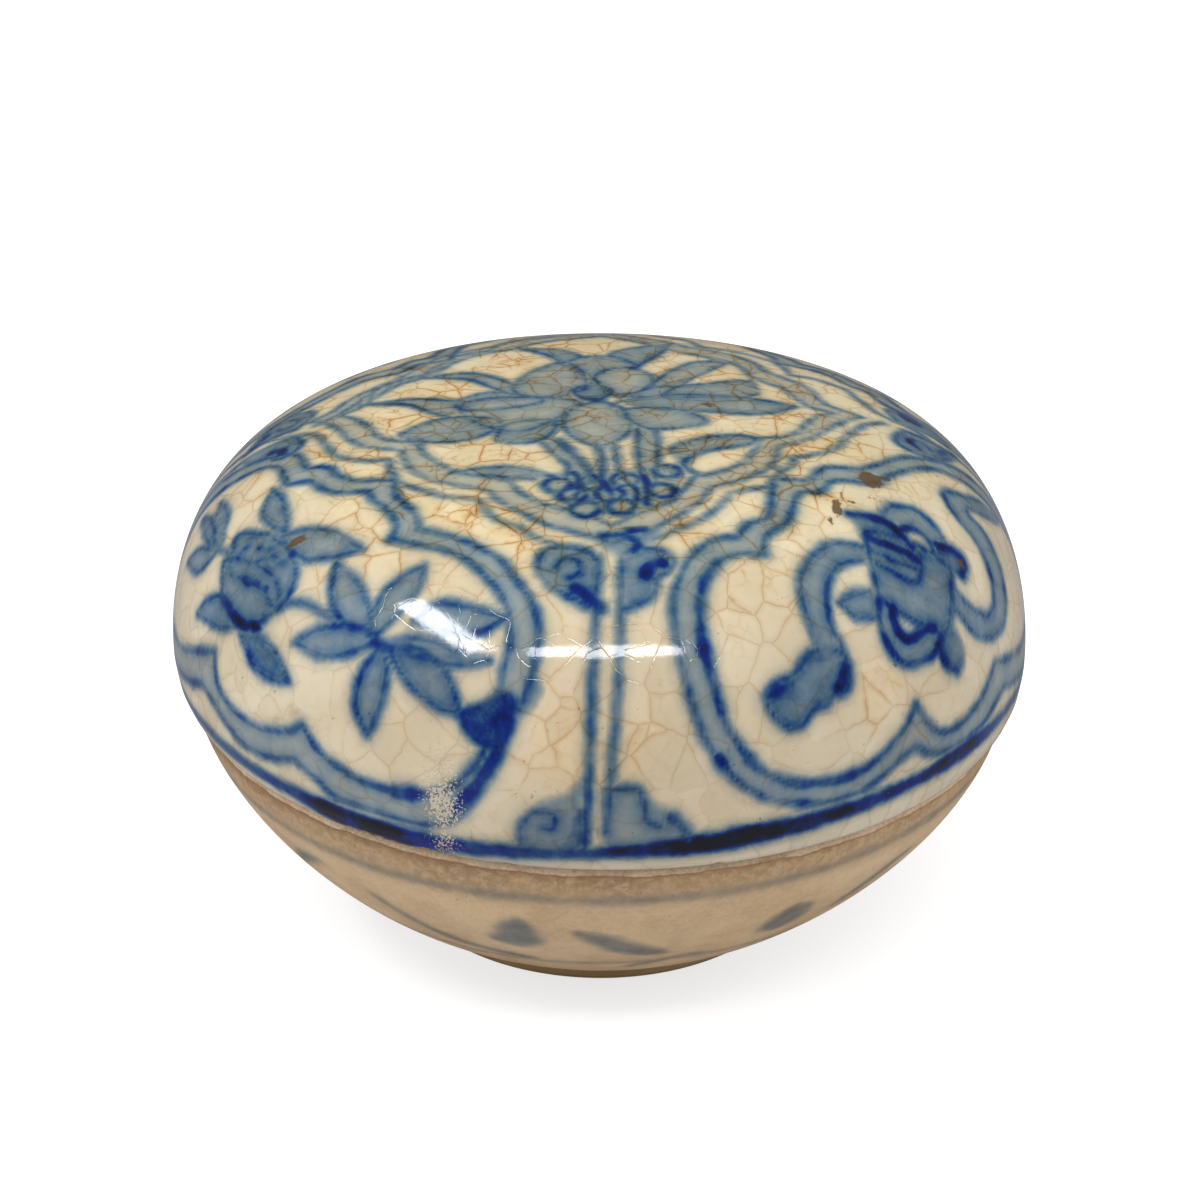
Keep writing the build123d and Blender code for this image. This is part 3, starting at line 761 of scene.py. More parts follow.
def paint_emblem_panel(brush):
    """The panel with a looped knot tied with a long ribbon."""
    outer = [
        (24, -70), (20, -69), (17, -67.3), (14, -64.5), (12, -61), (10.3, -57), (9.3, -53), (8.8, -50),
        (9, -47), (10.3, -43), (12, -40), (14, -38), (17, -37), (17, -37), (17.5, -35.5), (18.5, -34),
        (20.3, -33), (21, -31), (21.5, -28), (21.8, -25), (22, -23), (22, -23), (24, -22.5), (26, -22.3),
        (27.3, -21), (28.5, -18.7), (31, -17.6), (34, -17), (34, -17), (36, -15), (38, -13), (41, -10),
        (45, -7.5), (49, -5.5), (54, -4.2), (60, -3.7), (66, -4), (71, -6), (74, -10), (74.5, -16),
        (72.5, -24), (69, -30), (65, -35), (65, -35), (64, -38.5), (62.5, -43), (60, -47), (56, -51.5),
        (52, -54.5), (47.5, -55.8), (47.5, -55.8), (45.5, -58.5), (43, -62), (40, -65), (36, -67.5),
        (32, -69), (28, -69.8), (24, -70),
    ]
    inner = [
        (28, -67.3), (24, -67.2), (21, -66), (18, -64), (15.8, -61.5), (14, -57.5), (12.7, -53.5), (12, -50),
        (12, -47), (13, -44), (14.5, -41.6), (17, -40), (20, -39.6), (20, -39.6), (20, -37), (21.5, -34.7),
        (23.3, -32.5), (24, -30), (24.6, -27), (25.5, -25.6), (27.5, -25.2), (27.5, -25.2), (28.5, -23.8),
        (29.5, -22), (31, -21), (34, -20.5), (34, -20.5), (36, -19.5), (37.5, -17.3), (39.5, -15),
        (42, -12.5), (45, -10), (49, -8.5), (54, -7.5), (60, -7.3), (65, -8), (69, -10), (71, -13.5),
        (70.5, -18), (68.5, -24), (65, -29.5), (60, -35.3), (60, -35.3), (59.9, -38), (59.3, -41),
        (57.5, -45.5), (54.5, -49.5), (51, -51.8), (48, -52), (45, -51.2), (45, -51.2), (44.3, -54.5),
        (42.5, -58), (40, -61.5), (37, -64), (33, -66), (28, -67.3),
    ]
    brush.band(outer, inner)
    brush.stroke([(14.3, -41.8), (12.6, -45), (12, -49), (12.6, -53.5), (14, -57.5), (15.6, -61)], 1.4,
                 (0.66, 0.78))
    brush.stroke([(20, -66), (24, -67.2), (29, -67.2), (34, -65.6), (38, -63.3)], 1.3, (0.66, 0.68))
    brush.stroke([(16, -66.3), (17.5, -67.6)], 1.4, 0.75)

    # Ribbon to the right and to the left, each two lines with wash between
    brush.blade([(47, -32.7), (50, -33.2), (53, -32.7), (55.5, -31), (56.5, -28.5), (56, -26), (54, -23),
                 (51, -21), (48, -19.5), (46.5, -18), (46, -16), (47, -14.3), (49.5, -13), (52, -11),
                 (54.5, -9.5), (58, -8)], [(58, -8), (57.5, -9.5), (55, -12), (52, -14), (50, -15.2),
                                           (50.3, -16.8), (53, -17.2), (56, -19), (59, -22.5), (60.2, -26),
                                           (60, -29), (58, -32.5), (55, -35), (52, -36), (48, -35.7)], 0.4)
    brush.blade([(34, -34.3), (31, -34.5), (28, -36), (25.7, -39), (24.7, -42), (24.8, -45), (26, -48),
                 (28, -51.5)], [(32.6, -53), (31.5, -50), (29.5, -48), (28.2, -45), (28.2, -42), (29.5, -39),
                                (32, -37), (34, -36.3)], 0.42)
    brush.petal([(27, -51.5), (31, -50.3), (32.8, -52.5), (32.5, -54.7), (30.8, -55.6), (30.4, -57),
                 (28.5, -58), (27.3, -60.2), (25.3, -61), (23, -60.2), (21.3, -58.2), (23, -56),
                 (25, -54.5)], 0.56, load=0.64)
    brush.stroke([(32, -51.5), (31.5, -54.5)], 1.6, 0.66)
    brush.stroke([(21.6, -58.3), (24, -56.3)], 1.3, 0.66)

    # Knot: body, arms, loops
    brush.petal([(34, -31), (40, -30), (46.3, -30.5), (47, -34), (47.3, -39.5), (44, -41), (38.5, -41.6),
                 (35.5, -40.6), (34.3, -37), (33.7, -34)], 0.5, load=0.66)
    brush.fill([[(31, -28.6), (33, -27.8), (36, -27), (38, -28), (39.5, -30), (42, -30.5), (40.8, -33),
                 (37, -31.5), (34, -32.2), (32.3, -31)]], 0.60)
    brush.stroke([(31.4, -28.8), (34, -28.2), (37, -28.6), (40, -30.6)], 1.5, (0.66, 0.8))
    brush.fill([[(43.5, -29.5), (44.2, -27), (46, -26), (49, -26), (50, -28), (49.3, -30.3), (47, -30.8),
                 (44.5, -31)]], 0.60)
    brush.stroke([(44.4, -28), (46.6, -27), (49, -27.6), (48.8, -29.6)], 1.4, 0.76)
    brush.fill([[(46, -42), (47.3, -39.3), (49, -38.3), (51.5, -39.5), (52.6, -41.3), (51, -43.3),
                 (48.5, -44), (46.5, -43.2)]], 0.58)
    brush.stroke([(46.6, -42.4), (48.8, -43.6), (51.4, -42.8)], 1.2, 0.72)
    brush.fill([[(36, -27), (36.5, -25.5), (38, -24), (41, -23.3), (43.5, -24.2), (45, -25.8), (44, -27.5),
                 (38, -27.5)]], 0.42)
    brush.stroke([(36, -27.3), (36.6, -25.4), (38.2, -23.9), (41, -23.3), (43.6, -24.3), (45.5, -26.3)], 1.0,
                 0.62)
    brush.stroke([(38.5, -28.7), (39.5, -27.5), (41.3, -27.3), (43, -28.3), (43.5, -29.5)], 1.1, 0.7)
    brush.stroke([(34, -32.6), (38, -32.2), (41.2, -32.6)], 1.4, 0.7)
    brush.stroke([(34.2, -34.4), (38, -34.6), (40.8, -34)], 0.9, 0.64)
    brush.stroke([(34.4, -36.2), (38, -36.5), (40.8, -36.1), (41.6, -34.3), (41.6, -31.5)], 1.0, 0.68)
    brush.stroke([(46.8, -31), (47.6, -35), (48, -38.6)], 1.2, 0.64)
    brush.fill([[(35.6, -41), (36, -44), (38, -46.8), (40.5, -47.5), (43, -46.5), (45.5, -44), (46.5, -41),
                 (44, -40.8)], [(38.8, -41.4), (39.2, -42.6), (40.3, -43.3), (41.6, -42.6), (42, -41.2)]],
               0.4)
    brush.stroke([(35.4, -41), (35.9, -44), (37.8, -46.7), (40.5, -47.5), (43.2, -46.4), (45.6, -44),
                  (46.6, -41)], 1.1, 0.78)
    brush.stroke([(37.6, -41.5), (38.2, -43.4), (40.2, -44.4), (42.2, -43.4), (43.6, -41.4), (45, -40.6)],
                 1.4, 0.8)
    brush.blade([(35, -40.4), (32, -42), (29.8, -44)], [(29.8, -44), (32.5, -45), (35.3, -44)], 0.44)


def paint_rim_line(brush, rim_arc):
    """The line near the cover's rim, thick and nearly black where the brush was full."""
    azimuths = np.degrees(angles_round(brush.chart))
    arcs = np.hypot(brush.chart[:, 0], brush.chart[:, 1])
    stops = [-180, -110, -60, -40, -34, -24, -17, 0, 8, 16, 26, 34, 42, 50, 62, 110, 180]
    middle = [79.6, 80.2, 80.1, 80.4, 81.2, 81.6, 81.2, 80, 79.4, 79, 78.5, 78.2, 77.9, 77.6, 77.8, 79, 79.6]
    width = [1.5, 1.3, 1.6, 2.0, 3.4, 3.6, 2.6, 1.6, 2.3, 3, 2.1, 1.9, 1.7, 2.5, 1.4, 1.3, 1.5]
    load = [0.6, 0.62, 0.6, 0.66, 1.02, 1.02, 0.74, 0.7, 1, 1, 0.95, 0.84, 0.78, 0.97, 0.62, 0.6, 0.6]
    edge = np.abs(arcs - np.interp(azimuths, stops, middle)) - np.interp(azimuths, stops, width) / 2
    outside = np.flatnonzero(arcs < rim_arc)
    brush.lay("line", outside, edge[outside], np.interp(azimuths, stops, load)[outside])


def paint_cover(brush, rim_arc):
    paint_medallion(brush)
    paint_great_flower(brush)
    for brush.turn in (0.0, math.pi / 2, math.pi, -math.pi / 2):
        paint_divider(brush)
    for brush.turn in (math.pi, 0.0):
        paint_flower_panel(brush)
        paint_emblem_panel(brush)
    paint_rim_line(brush, rim_arc)


# ---------------------------------------------------------------- the base's painting


def paint_base(brush):
    """A thin line under the ledge, a finer one near the foot, and a sparse round of leaf strokes.

    Points are (degrees round, height).
    """

    def around(points, shift=0):
        return [(math.radians(degrees + shift) * BASE_RIM_RADIUS, height) for degrees, height in points]

    ledge_line = []
    for degrees in range(-180, 181, 12):
        sway = 1.2 * math.sin(math.radians(degrees - 20)) * (abs(degrees) < 110)
        ledge_line.append((degrees, 31.4 + sway))
    brush.stroke(around(ledge_line), 0.9, 0.19)
    foot_line = []
    for degrees in range(-180, 181, 10):
        foot_line.append((degrees, 13.6 + 0.5 * math.sin(math.radians(5 * degrees))))
    brush.stroke(around(foot_line), 0.6, 0.15)
    for shift in (-90, 0, 90, 180):
        for outline, load in (
            ([(-15.6, 19.8), (-14, 23), (-11, 26), (-9.2, 24.3), (-8.4, 20.8), (-11.5, 18.6)], 0.36),
            ([(-3.4, 23.9), (0.5, 23.3), (4.5, 21.2), (10.2, 17.2), (6, 16.9), (2, 18.6), (-1, 20.7)], 0.36),
            ([(24, 19.5), (25, 22.8), (27.5, 24.4), (30.5, 23.4), (31, 20.6), (28, 18)], 0.33),
        ):
            brush.fill([around(outline, shift)], load)
        for path, width, load, taper in (
            ([(-33, 23), (-29, 19.6), (-24, 16.8), (-18, 15.2), (-11.5, 14.2)], 1.6, (0.17, 0.28), 0.0),
            ([(5, 11.4), (8.5, 13.3), (13, 14.8), (16, 15)], 1.5, 0.24, 0.7),
            ([(37.5, 19.5), (41, 22.4), (44, 24.6), (48, 26.2)], 1.7, 0.24, 0.6),
        ):
            brush.stroke(around(path, shift), width, load, taper)


# ---------------------------------------------------------------- shared finishes


def crackle_group():
    """A net of fine cracks in glaze, and a random share for each pane between the cracks, used as painted
    shading of panes that catch the light differently. All sizes are in the units of Place.
    """
    tree, wire, given, out = shader_group(
        "glaze_crackle",
        [("Place", "vector"), ("Cell", "float"), ("Crack", "float"), ("Wander", "float"),
         ("Showing", "float")],
        [("Cracks", "float"), ("Halo", "float"), ("Pane shading", "float")],
    )
    wander = wire.vector("SUBTRACT", wire.noise(given["Place"], given["Cell"], 3.0)["Color"], (0.5, 0.5, 0.5))
    place = wire.vector("ADD", given["Place"], wire.vector("SCALE", wander, scale=given["Wander"]))
    scale = wire.math("DIVIDE", 1.0, given["Cell"])
    cells = wire.node("ShaderNodeTexVoronoi", {"Vector": place, "Scale": scale}, feature="DISTANCE_TO_EDGE")
    gap = wire.times(cells.outputs["Distance"], given["Cell"])
    # A random share for each cell, used as painted shading of the glaze panes.
    whole = wire.node("ShaderNodeTexVoronoi", {"Vector": place, "Scale": scale}, feature="F1")
    wire.join(wire.smoothstep(whole.outputs["Color"], 0.2, 0.8), out.inputs["Pane shading"])
    patches = wire.noise(place, wire.times(given["Cell"], 2.2), 1.0)["Fac"]
    broken = wire.noise(place, wire.times(given["Cell"], 0.3), 1.0)["Fac"]
    shown = wire.plus(wire.plus(patches, wire.times(broken, 0.5)), given["Showing"])
    shown = wire.smoothstep(shown, 1.0, 1.35)
    crack = wire.smoothstep(gap, 0.0, given["Crack"], 1.0, 0.0)
    halo = wire.smoothstep(gap, 0.0, wire.times(given["Crack"], 5.0), 1.0, 0.0)
    wire.join(wire.times(crack, shown), out.inputs["Cracks"])
    wire.join(wire.times(halo, shown), out.inputs["Halo"])
    return tree


def cobalt_group():
    """Blue painting under the glaze, from distances to the strokes' edges and how loaded the brush was.

    Tint is what the glaze's colour is multiplied by, so that thin paint is only a grey-blue stain.
    """
    tree, wire, given, out = shader_group(
        "cobalt_painting",
        [("Place", "vector"), ("Line edge", "float"), ("Line load", "float"), ("Wash edge", "float"),
         ("Wash load", "float"), ("Greyness", "float"), ("Blur", "float")],
        [("Tint", "colour")],
    )
    place = given["Place"]
    line_edge = wire.math("DIVIDE", given["Line edge"], given["Blur"])
    wash_edge = wire.math("DIVIDE", given["Wash edge"], given["Blur"])
    wobble = wire.times(wire.minus(wire.noise(place, 2.4, 2.0)["Fac"], 0.5), 0.9)
    fringe = wire.times(wire.minus(wire.noise(place, 0.5, 2.0)["Fac"], 0.5), 0.3)
    ragged = wire.plus(wobble, fringe)
    pooling = wire.noise(place, 3.6, 3.0, 0.6)["Fac"]
    specks = wire.noise(place, 0.5, 2.0, 0.6)["Fac"]
    uneven = wire.plus(wire.times(pooling, 0.9), wire.times(specks, 0.26))

    line = wire.smoothstep(wire.plus(line_edge, ragged), -0.72, 0.78, 1.0, 0.0)
    wash = wire.smoothstep(wire.plus(wash_edge, ragged), -0.9, 0.9, 1.0, 0.0)
    line_depth = wire.times(wire.times(line, given["Line load"]), wire.plus(uneven, 0.24))
    wash_depth = wire.times(wire.times(wash, given["Wash load"]), wire.plus(uneven, 0.24))
    depth = wire.most(line_depth, wash_depth)
    both = wire.times(wire.math("MINIMUM", line_depth, wash_depth), 0.28)
    bled = wire.smoothstep(wire.plus(line_edge, ragged), -0.5, 1.9, 1.0, 0.0)
    bled = wire.times(wire.times(bled, given["Line load"]), 0.20)
    depth = wire.plus(wire.plus(depth, both), bled, clamp=True)
    deepening = [
        (0.0, (1.0, 1.0, 1.0)),
        (0.10, (0.64, 0.71, 0.80)),
        (0.20, (0.43, 0.545, 0.735)),
        (0.29, (0.29, 0.44, 0.70)),
        (0.38, (0.20, 0.345, 0.63)),
        (0.48, (0.115, 0.255, 0.55)),
        (0.60, (0.036, 0.148, 0.48)),
        (0.72, (0.008, 0.052, 0.45)),
        (0.82, (0.004, 0.024, 0.38)),
        (0.92, (0.005, 0.016, 0.16)),
        (1.0, (0.006, 0.009, 0.030)),
    ]
    tint = wire.ramp(depth, deepening)
    warm_cast = (1.0, 0.84, 0.70, 1)
    greyed = wire.blend(1.0, tint, warm_cast, "MULTIPLY")
    share = wire.times(given["Greyness"], wire.smoothstep(depth, 0.05, 0.4))
    wire.join(wire.blend(share, tint, greyed), out.inputs["Tint"])
    return tree


def stain_group():
    """Brown and orange staining that soaked into crazed glaze."""
    tree, wire, given, out = shader_group(
        "soaked_stain",
        [("Place", "vector"), ("Glaze", "colour"), ("Cracks", "float"), ("Halo", "float"), ("Rust", "float"),
         ("Mark", "float"), ("Crack colour", "colour")],
        [("Glaze", "colour")],
    )
    soaked_brown, orange_cast = (0.80, 0.56, 0.30, 1), (0.96, 0.80, 0.54, 1)
    pinhole_brown, mark_brown = (0.42, 0.25, 0.12, 1), (0.080, 0.042, 0.012, 1)
    patches = wire.noise(given["Place"], 9.0, 3.0, 0.6)["Fac"]
    fine = wire.noise(given["Place"], 0.9, 3.0, 0.7)["Fac"]
    rust = wire.times(given["Rust"], wire.smoothstep(patches, 0.36, 0.62))
    soaked = wire.times(given["Halo"], wire.plus(wire.times(rust, 1.0), 0.18), clamp=True)
    glaze = wire.blend(soaked, given["Glaze"], soaked_brown, "MULTIPLY")
    glaze = wire.blend(wire.times(rust, 0.6), glaze, orange_cast, "MULTIPLY")
    pinholes = wire.smoothstep(wire.plus(fine, wire.times(patches, 0.22)), 0.80, 0.86)
    glaze = wire.blend(wire.times(pinholes, 0.75), glaze, pinhole_brown, "MULTIPLY")
    cracks = wire.times(given["Cracks"], wire.plus(wire.times(rust, 0.7), 0.8), clamp=True)
    glaze = wire.blend(cracks, glaze, given["Crack colour"], "MULTIPLY")
    ragged = wire.plus(given["Mark"], wire.times(wire.minus(fine, 0.5), 0.9))
    marked = wire.times(wire.smoothstep(ragged, 0.38, 0.62), 0.88)
    wire.join(wire.blend(marked, glaze, mark_brown), out.inputs["Glaze"])
    return tree


def bare_clay_group():
    """Unglazed body where the glaze stops or is chipped: buff, gritty, rusty at the glaze's edge."""
    tree, wire, given, out = shader_group(
        "bare_clay",
        [("Place", "vector"), ("Bare", "float")],
        [("Clay", "colour"), ("Shown", "float"), ("Grit", "float")],
    )
    grain = wire.noise(given["Place"], 0.4, 4.0, 0.7)["Fac"]
    broad = wire.noise(given["Place"], 4.0, 3.0, 0.6)["Fac"]
    edge = wire.plus(given["Bare"], wire.times(wire.minus(broad, 0.5), 0.5))
    shown = wire.smoothstep(edge, 0.44, 0.56)
    grits = [
        (0.3, (0.30, 0.20, 0.115)),
        (0.5, (0.52, 0.38, 0.245)),
        (0.72, (0.68, 0.54, 0.38)),
    ]
    clay = wire.ramp(wire.plus(wire.times(grain, 0.6), wire.times(broad, 0.4)), grits)
    flash = wire.times(wire.smoothstep(edge, 0.36, 0.47), wire.smoothstep(edge, 0.47, 0.64, 1.0, 0.0))
    flash_red = (0.38, 0.15, 0.045, 1)
    clay = wire.blend(flash, clay, flash_red)
    wire.join(clay, out.inputs["Clay"])
    wire.join(shown, out.inputs["Shown"])
    wire.join(grain, out.inputs["Grit"])
    return tree


# ---------------------------------------------------------------- materials


def begin_material(name):
    """(material, wiring, Principled shader, place in millimetres)."""
    material = bpy.data.materials.new(name)
    material.use_nodes = True
    material.node_tree.nodes.clear()
    wire = Wiring(material.node_tree)
    shader = wire.node("ShaderNodeBsdfPrincipled")
    out = wire.node("ShaderNodeOutputMaterial")
    wire.join(shader.outputs[0], out.inputs["Surface"])
    place = wire.vector("SCALE", wire.node("ShaderNodeTexCoord").outputs["Object"], scale=1 / MM)
    return material, wire, shader, place


def painted_cover_glaze(groups):
    """Glossy warm crackled glaze over the blue painting."""
    material, wire, shader, place = begin_material("painted_cover_glaze")
    shader.inputs["IOR"].default_value = 1.5
    cream_low, cream_high = (0.465, 0.392, 0.278, 1), (0.545, 0.477, 0.355, 1)
    crown_cream, rim_cream = (0.67, 0.57, 0.36, 1), (0.68, 0.59, 0.46, 1)
    freckle_brown, darker_patch_brown = (0.50, 0.38, 0.24, 1), (0.52, 0.40, 0.25, 1)
    wall_crack, crown_crack = (0.50, 0.42, 0.31, 1), (0.50, 0.29, 0.12, 1)
    pane_shading_grey, worn_cream = (0.93, 0.92, 0.90, 1), (0.50, 0.42, 0.30, 1)

    inside = wire.attribute("inside")
    crown = wire.smoothstep(wire.attribute("along"), 30.0, 62.0, 1.0, 0.0)
    outside = wire.minus(1.0, inside)
    crown = wire.times(crown, outside)

    mottle = wire.noise(place, 14.0, 4.0, 0.6)["Fac"]
    fine = wire.noise(place, 1.6, 3.0, 0.6)["Fac"]
    cream = wire.blend(wire.smoothstep(mottle, 0.3, 0.7), cream_low, cream_high)
    warm = wire.blend(wire.times(crown, 0.75), cream, crown_cream)
    freckled = wire.blend(wire.times(wire.smoothstep(fine, 0.48, 0.76), 0.24), warm, freckle_brown)
    # Darker, browner glaze in listed patches, mostly on the front of the wall and on the back of the crown.
    darker_patch_share = wire.times(wire.attribute("darker_patches"), wire.plus(wire.smoothstep(mottle, 0.25, 0.75), 0.4))
    freckled = wire.blend(darker_patch_share, freckled, darker_patch_brown)

    at_rim = wire.times(wire.smoothstep(wire.attribute("along"), 79.5, 82.5), outside)
    freckled = wire.blend(wire.times(at_rim, 0.6), freckled, rim_cream)

    wide = placed(wire, groups["crackle"], Place=place, Cell=4.8, Crack=0.10, Wander=1.9, Showing=0.56)
    close = placed(wire, groups["crackle"], Place=place, Cell=2.7, Crack=0.09, Wander=1.3, Showing=0.36)
    crown_only = wire.plus(wire.times(crown, 0.5), 0.4)
    cracks = wire.most(wide["Cracks"], wire.times(close["Cracks"], crown_only))
    halo = wire.most(wide["Halo"], wire.times(close["Halo"], crown_only))
    crack_tint = wire.blend(crown, wall_crack, crown_crack)
    # Painted shading: each crackle pane is darkened a little by a random amount, as if tilted panes caught
    # the light differently.
    freckled = wire.blend(wide["Pane shading"], freckled, pane_shading_grey, "MULTIPLY")

    thinner = wire.minus(0.88, wire.times(crown, 0.12))
    cobalt = placed(
        wire, groups["cobalt"], Place=place, Line_edge=wire.attribute("line_edge"),
        Line_load=wire.attribute("line_load"), Wash_edge=wire.attribute("wash_edge"),
        Wash_load=wire.times(wire.attribute("wash_load"), thinner),
        Greyness=wire.times(crown, 0.12), Blur=wire.plus(wire.times(crown, 0.1), 1.0),
    )
    painted = wire.blend(1.0, freckled, cobalt["Tint"], "MULTIPLY")
    rust = wire.most(wire.attribute("rust"), wire.times(crown, 0.62))
    faint_cracks = wire.times(cracks, wire.plus(wire.times(crown, 0.34), 0.34))
    stained = placed(
        wire, groups["stain"], Place=place, Glaze=painted, Cracks=faint_cracks, Halo=halo, Rust=rust,
        Mark=wire.attribute("mark"), Crack_colour=crack_tint,
    )["Glaze"]

    # Worn patch, where the gloss and the blue are rubbed away in specks
    grains = wire.noise(place, 0.34, 2.0, 0.7)["Fac"]
    rubbed = wire.plus(wire.attribute("rubbed"), wire.times(wire.minus(grains, 0.5), 2.6))
    rubbed = wire.smoothstep(rubbed, 0.62, 0.86)
    worn = wire.blend(wire.times(rubbed, 0.85), stained, worn_cream)
    clay = placed(wire, groups["bare"], Place=place, Bare=wire.attribute("bare"))
    colour = wire.blend(clay["Shown"], worn, clay["Clay"])
    wire.join(colour, shader.inputs["Base Color"])

    gloss = wire.smoothstep(wire.noise(place, 7.0, 3.0)["Fac"], 0.3, 0.7, 0.06, 0.115)
    rough = wire.most(gloss, wire.times(rubbed, 0.6))
    rough = wire.most(rough, wire.times(wire.attribute("mark"), 0.35))
    rough = wire.most(rough, wire.times(clay["Shown"], 0.85))
    wire.join(rough, shader.inputs["Roughness"])

    orange_peel = wire.times(wire.noise(place, 2.6, 2.0)["Fac"], 0.035)
    ripple = wire.times(wire.noise(place, 9.0, 1.0)["Fac"], 0.16)
    sunk = wire.times(cracks, -0.016)
    height = wire.plus(wire.plus(orange_peel, ripple), sunk)
    height = wire.plus(height, wire.times(rubbed, -0.12))
    height = wire.plus(height, wire.times(wire.times(clay["Grit"], clay["Shown"]), 0.35))
    bump = wire.node("ShaderNodeBump", {"Strength": 0.6, "Distance": MM, "Height": height})
    wire.join(bump.outputs[0], shader.inputs["Normal"])
    return material


def stained_base_glaze(groups):
    """Duller greyish-buff glaze, stained brown under the ledge and at the foot, with a narrow darker band
    just under the cover's rim.
    """
    material, wire, shader, place = begin_material("stained_base_glaze")
    shader.inputs["IOR"].default_value = 1.5
    buff_low, buff_high = (0.525, 0.352, 0.193, 1), (0.65, 0.468, 0.28, 1)
    fine_buff, grit_grey = (0.78, 0.58, 0.37, 1), (0.86, 0.80, 0.74, 1)
    ledge_brown, under_rim_brown = (0.25, 0.145, 0.062, 1), (0.17, 0.095, 0.04, 1)
    foot_brown, inside_buff = (0.30, 0.20, 0.075, 1), (0.70, 0.62, 0.50, 1)
    base_crack = (0.45, 0.36, 0.26, 1)

    inside = wire.attribute("inside")
    height_up = wire.node("ShaderNodeSeparateXYZ", {0: place}).outputs["Z"]
    outside = wire.minus(1.0, inside)

    mottle = wire.noise(place, 11.0, 5.0, 0.65)["Fac"]
    fine = wire.noise(place, 0.9, 3.0, 0.7)["Fac"]
    buff = wire.blend(wire.smoothstep(mottle, 0.3, 0.7), buff_low, buff_high)
    buff = wire.blend(wire.times(wire.smoothstep(fine, 0.35, 0.75), 0.3), buff, fine_buff)
    gritty = wire.smoothstep(wire.noise(place, 0.5, 2.0, 0.7)["Fac"], 0.42, 0.66)
    buff = wire.blend(wire.times(gritty, 0.42), buff, grit_grey, "MULTIPLY")
    under_ledge = wire.smoothstep(wire.plus(height_up, wire.times(mottle, 8.0)), 32.0, 39.5)
    at_foot = wire.smoothstep(wire.plus(height_up, wire.times(mottle, 6.0)), 6.0, 12.5, 1.0, 0.0)
    granular = wire.smoothstep(wire.noise(place, 1.1, 4.0, 0.75)["Fac"], 0.35, 0.6, 0.55, 1.0)
    brown = wire.times(wire.times(under_ledge, outside), wire.times(granular, 0.9))
    buff = wire.blend(brown, buff, ledge_brown)
    # A narrow, darker brown band at the top of the base wall, just under the cover's rim.
    under_rim_band = wire.smoothstep(wire.plus(height_up, wire.times(mottle, 3.0)), 35.4, 37.4)
    under_rim_band = wire.times(wire.times(under_rim_band, outside), 0.6)
    buff = wire.blend(under_rim_band, buff, under_rim_brown)
    buff = wire.blend(wire.times(wire.times(at_foot, outside), 0.7), buff, foot_brown)
    buff = wire.blend(wire.times(inside, 0.7), buff, inside_buff)

    net = placed(wire, groups["crackle"], Place=place, Cell=4.5, Crack=0.12, Wander=2.6, Showing=0.12)
    cobalt = placed(
        wire, groups["cobalt"], Place=place, Line_edge=wire.attribute("line_edge"),
        Line_load=wire.attribute("line_load"), Wash_edge=wire.attribute("wash_edge"),
        Wash_load=wire.attribute("wash_load"), Greyness=0.55, Blur=1.6,
    )
    painted = wire.blend(1.0, buff, cobalt["Tint"], "MULTIPLY")
    stained = placed(
        wire, groups["stain"], Place=place, Glaze=painted, Cracks=wire.times(net["Cracks"], 0.35),
        Halo=net["Halo"], Rust=0.25, Mark=0.0, Crack_colour=base_crack,
    )["Glaze"]
    clay = placed(wire, groups["bare"], Place=place, Bare=wire.attribute("bare"))
    wire.join(wire.blend(clay["Shown"], stained, clay["Clay"]), shader.inputs["Base Color"])

    dull = wire.smoothstep(wire.noise(place, 5.0, 3.0)["Fac"], 0.3, 0.7, 0.34, 0.5)
    rough = wire.minus(dull, wire.times(inside, 0.16))
    rough = wire.most(rough, wire.times(clay["Shown"], 0.88))
    wire.join(rough, shader.inputs["Roughness"])

    pits = wire.times(wire.noise(place, 0.7, 3.0, 0.6)["Fac"], 0.10)
    ripple = wire.times(wire.noise(place, 7.0, 1.0)["Fac"], 0.4)
    height = wire.plus(wire.plus(pits, ripple), wire.times(net["Cracks"], -0.05))
    height = wire.plus(height, wire.times(wire.times(clay["Grit"], clay["Shown"]), 0.35))
    bump = wire.node("ShaderNodeBump", {"Strength": 0.6, "Distance": MM, "Height": height})
    wire.join(bump.outputs[0], shader.inputs["Normal"])
    return material


# ---------------------------------------------------------------- pieces


def vertex_array(mesh):
    """Every vertex's place in millimetres."""
    flat = np.empty(len(mesh.vertices) * 3)
    mesh.vertices.foreach_get("co", flat)
    return flat.reshape(-1, 3) / MM


def point_values(mesh, name):
    values = np.empty(len(mesh.vertices), np.float32)
    mesh.attributes[name].data.foreach_get("value", values)
    return values.astype(float)


def keep_values(mesh, name, values):
    mesh.attributes.new(name, "FLOAT", "POINT").data.foreach_set("value", np.asarray(values, np.float32))


def angles_round(places):
    """Each place's angle round the axis: 0 at the front, positive towards +X."""
    return np.arctan2(places[:, 0], -places[:, 1])


def leaning(x, height, share):
    """The height with the seam's lean, which is whole where share is 0 and nothing where it is 1."""
    return height + SEAM_LEAN * x * (1 - share * share * (3 - 2 * share))


def keep_paint(mesh, painted, layer, edges, loads):
    """One layer of paint kept on the painted vertices, and none on the others."""
    for label, held, empty in (("_edge", edges, FAR), ("_load", loads, 0.0)):
        values = np.full(len(mesh.vertices), empty)
        values[painted] = held
        keep_values(mesh, layer + label, values)


def spots_of(chart, spots):
    """Soft round or oval spots on the design: their strength in the middle, nothing past the edge."""
    total = np.zeros(len(chart))
    for x, y, across, deep, strength in spots:
        distance = np.hypot((chart[:, 0] - x) / across, (chart[:, 1] - y) / deep)
        total = np.maximum(total, strength * np.clip(1.25 - distance, 0, 1))
    return total


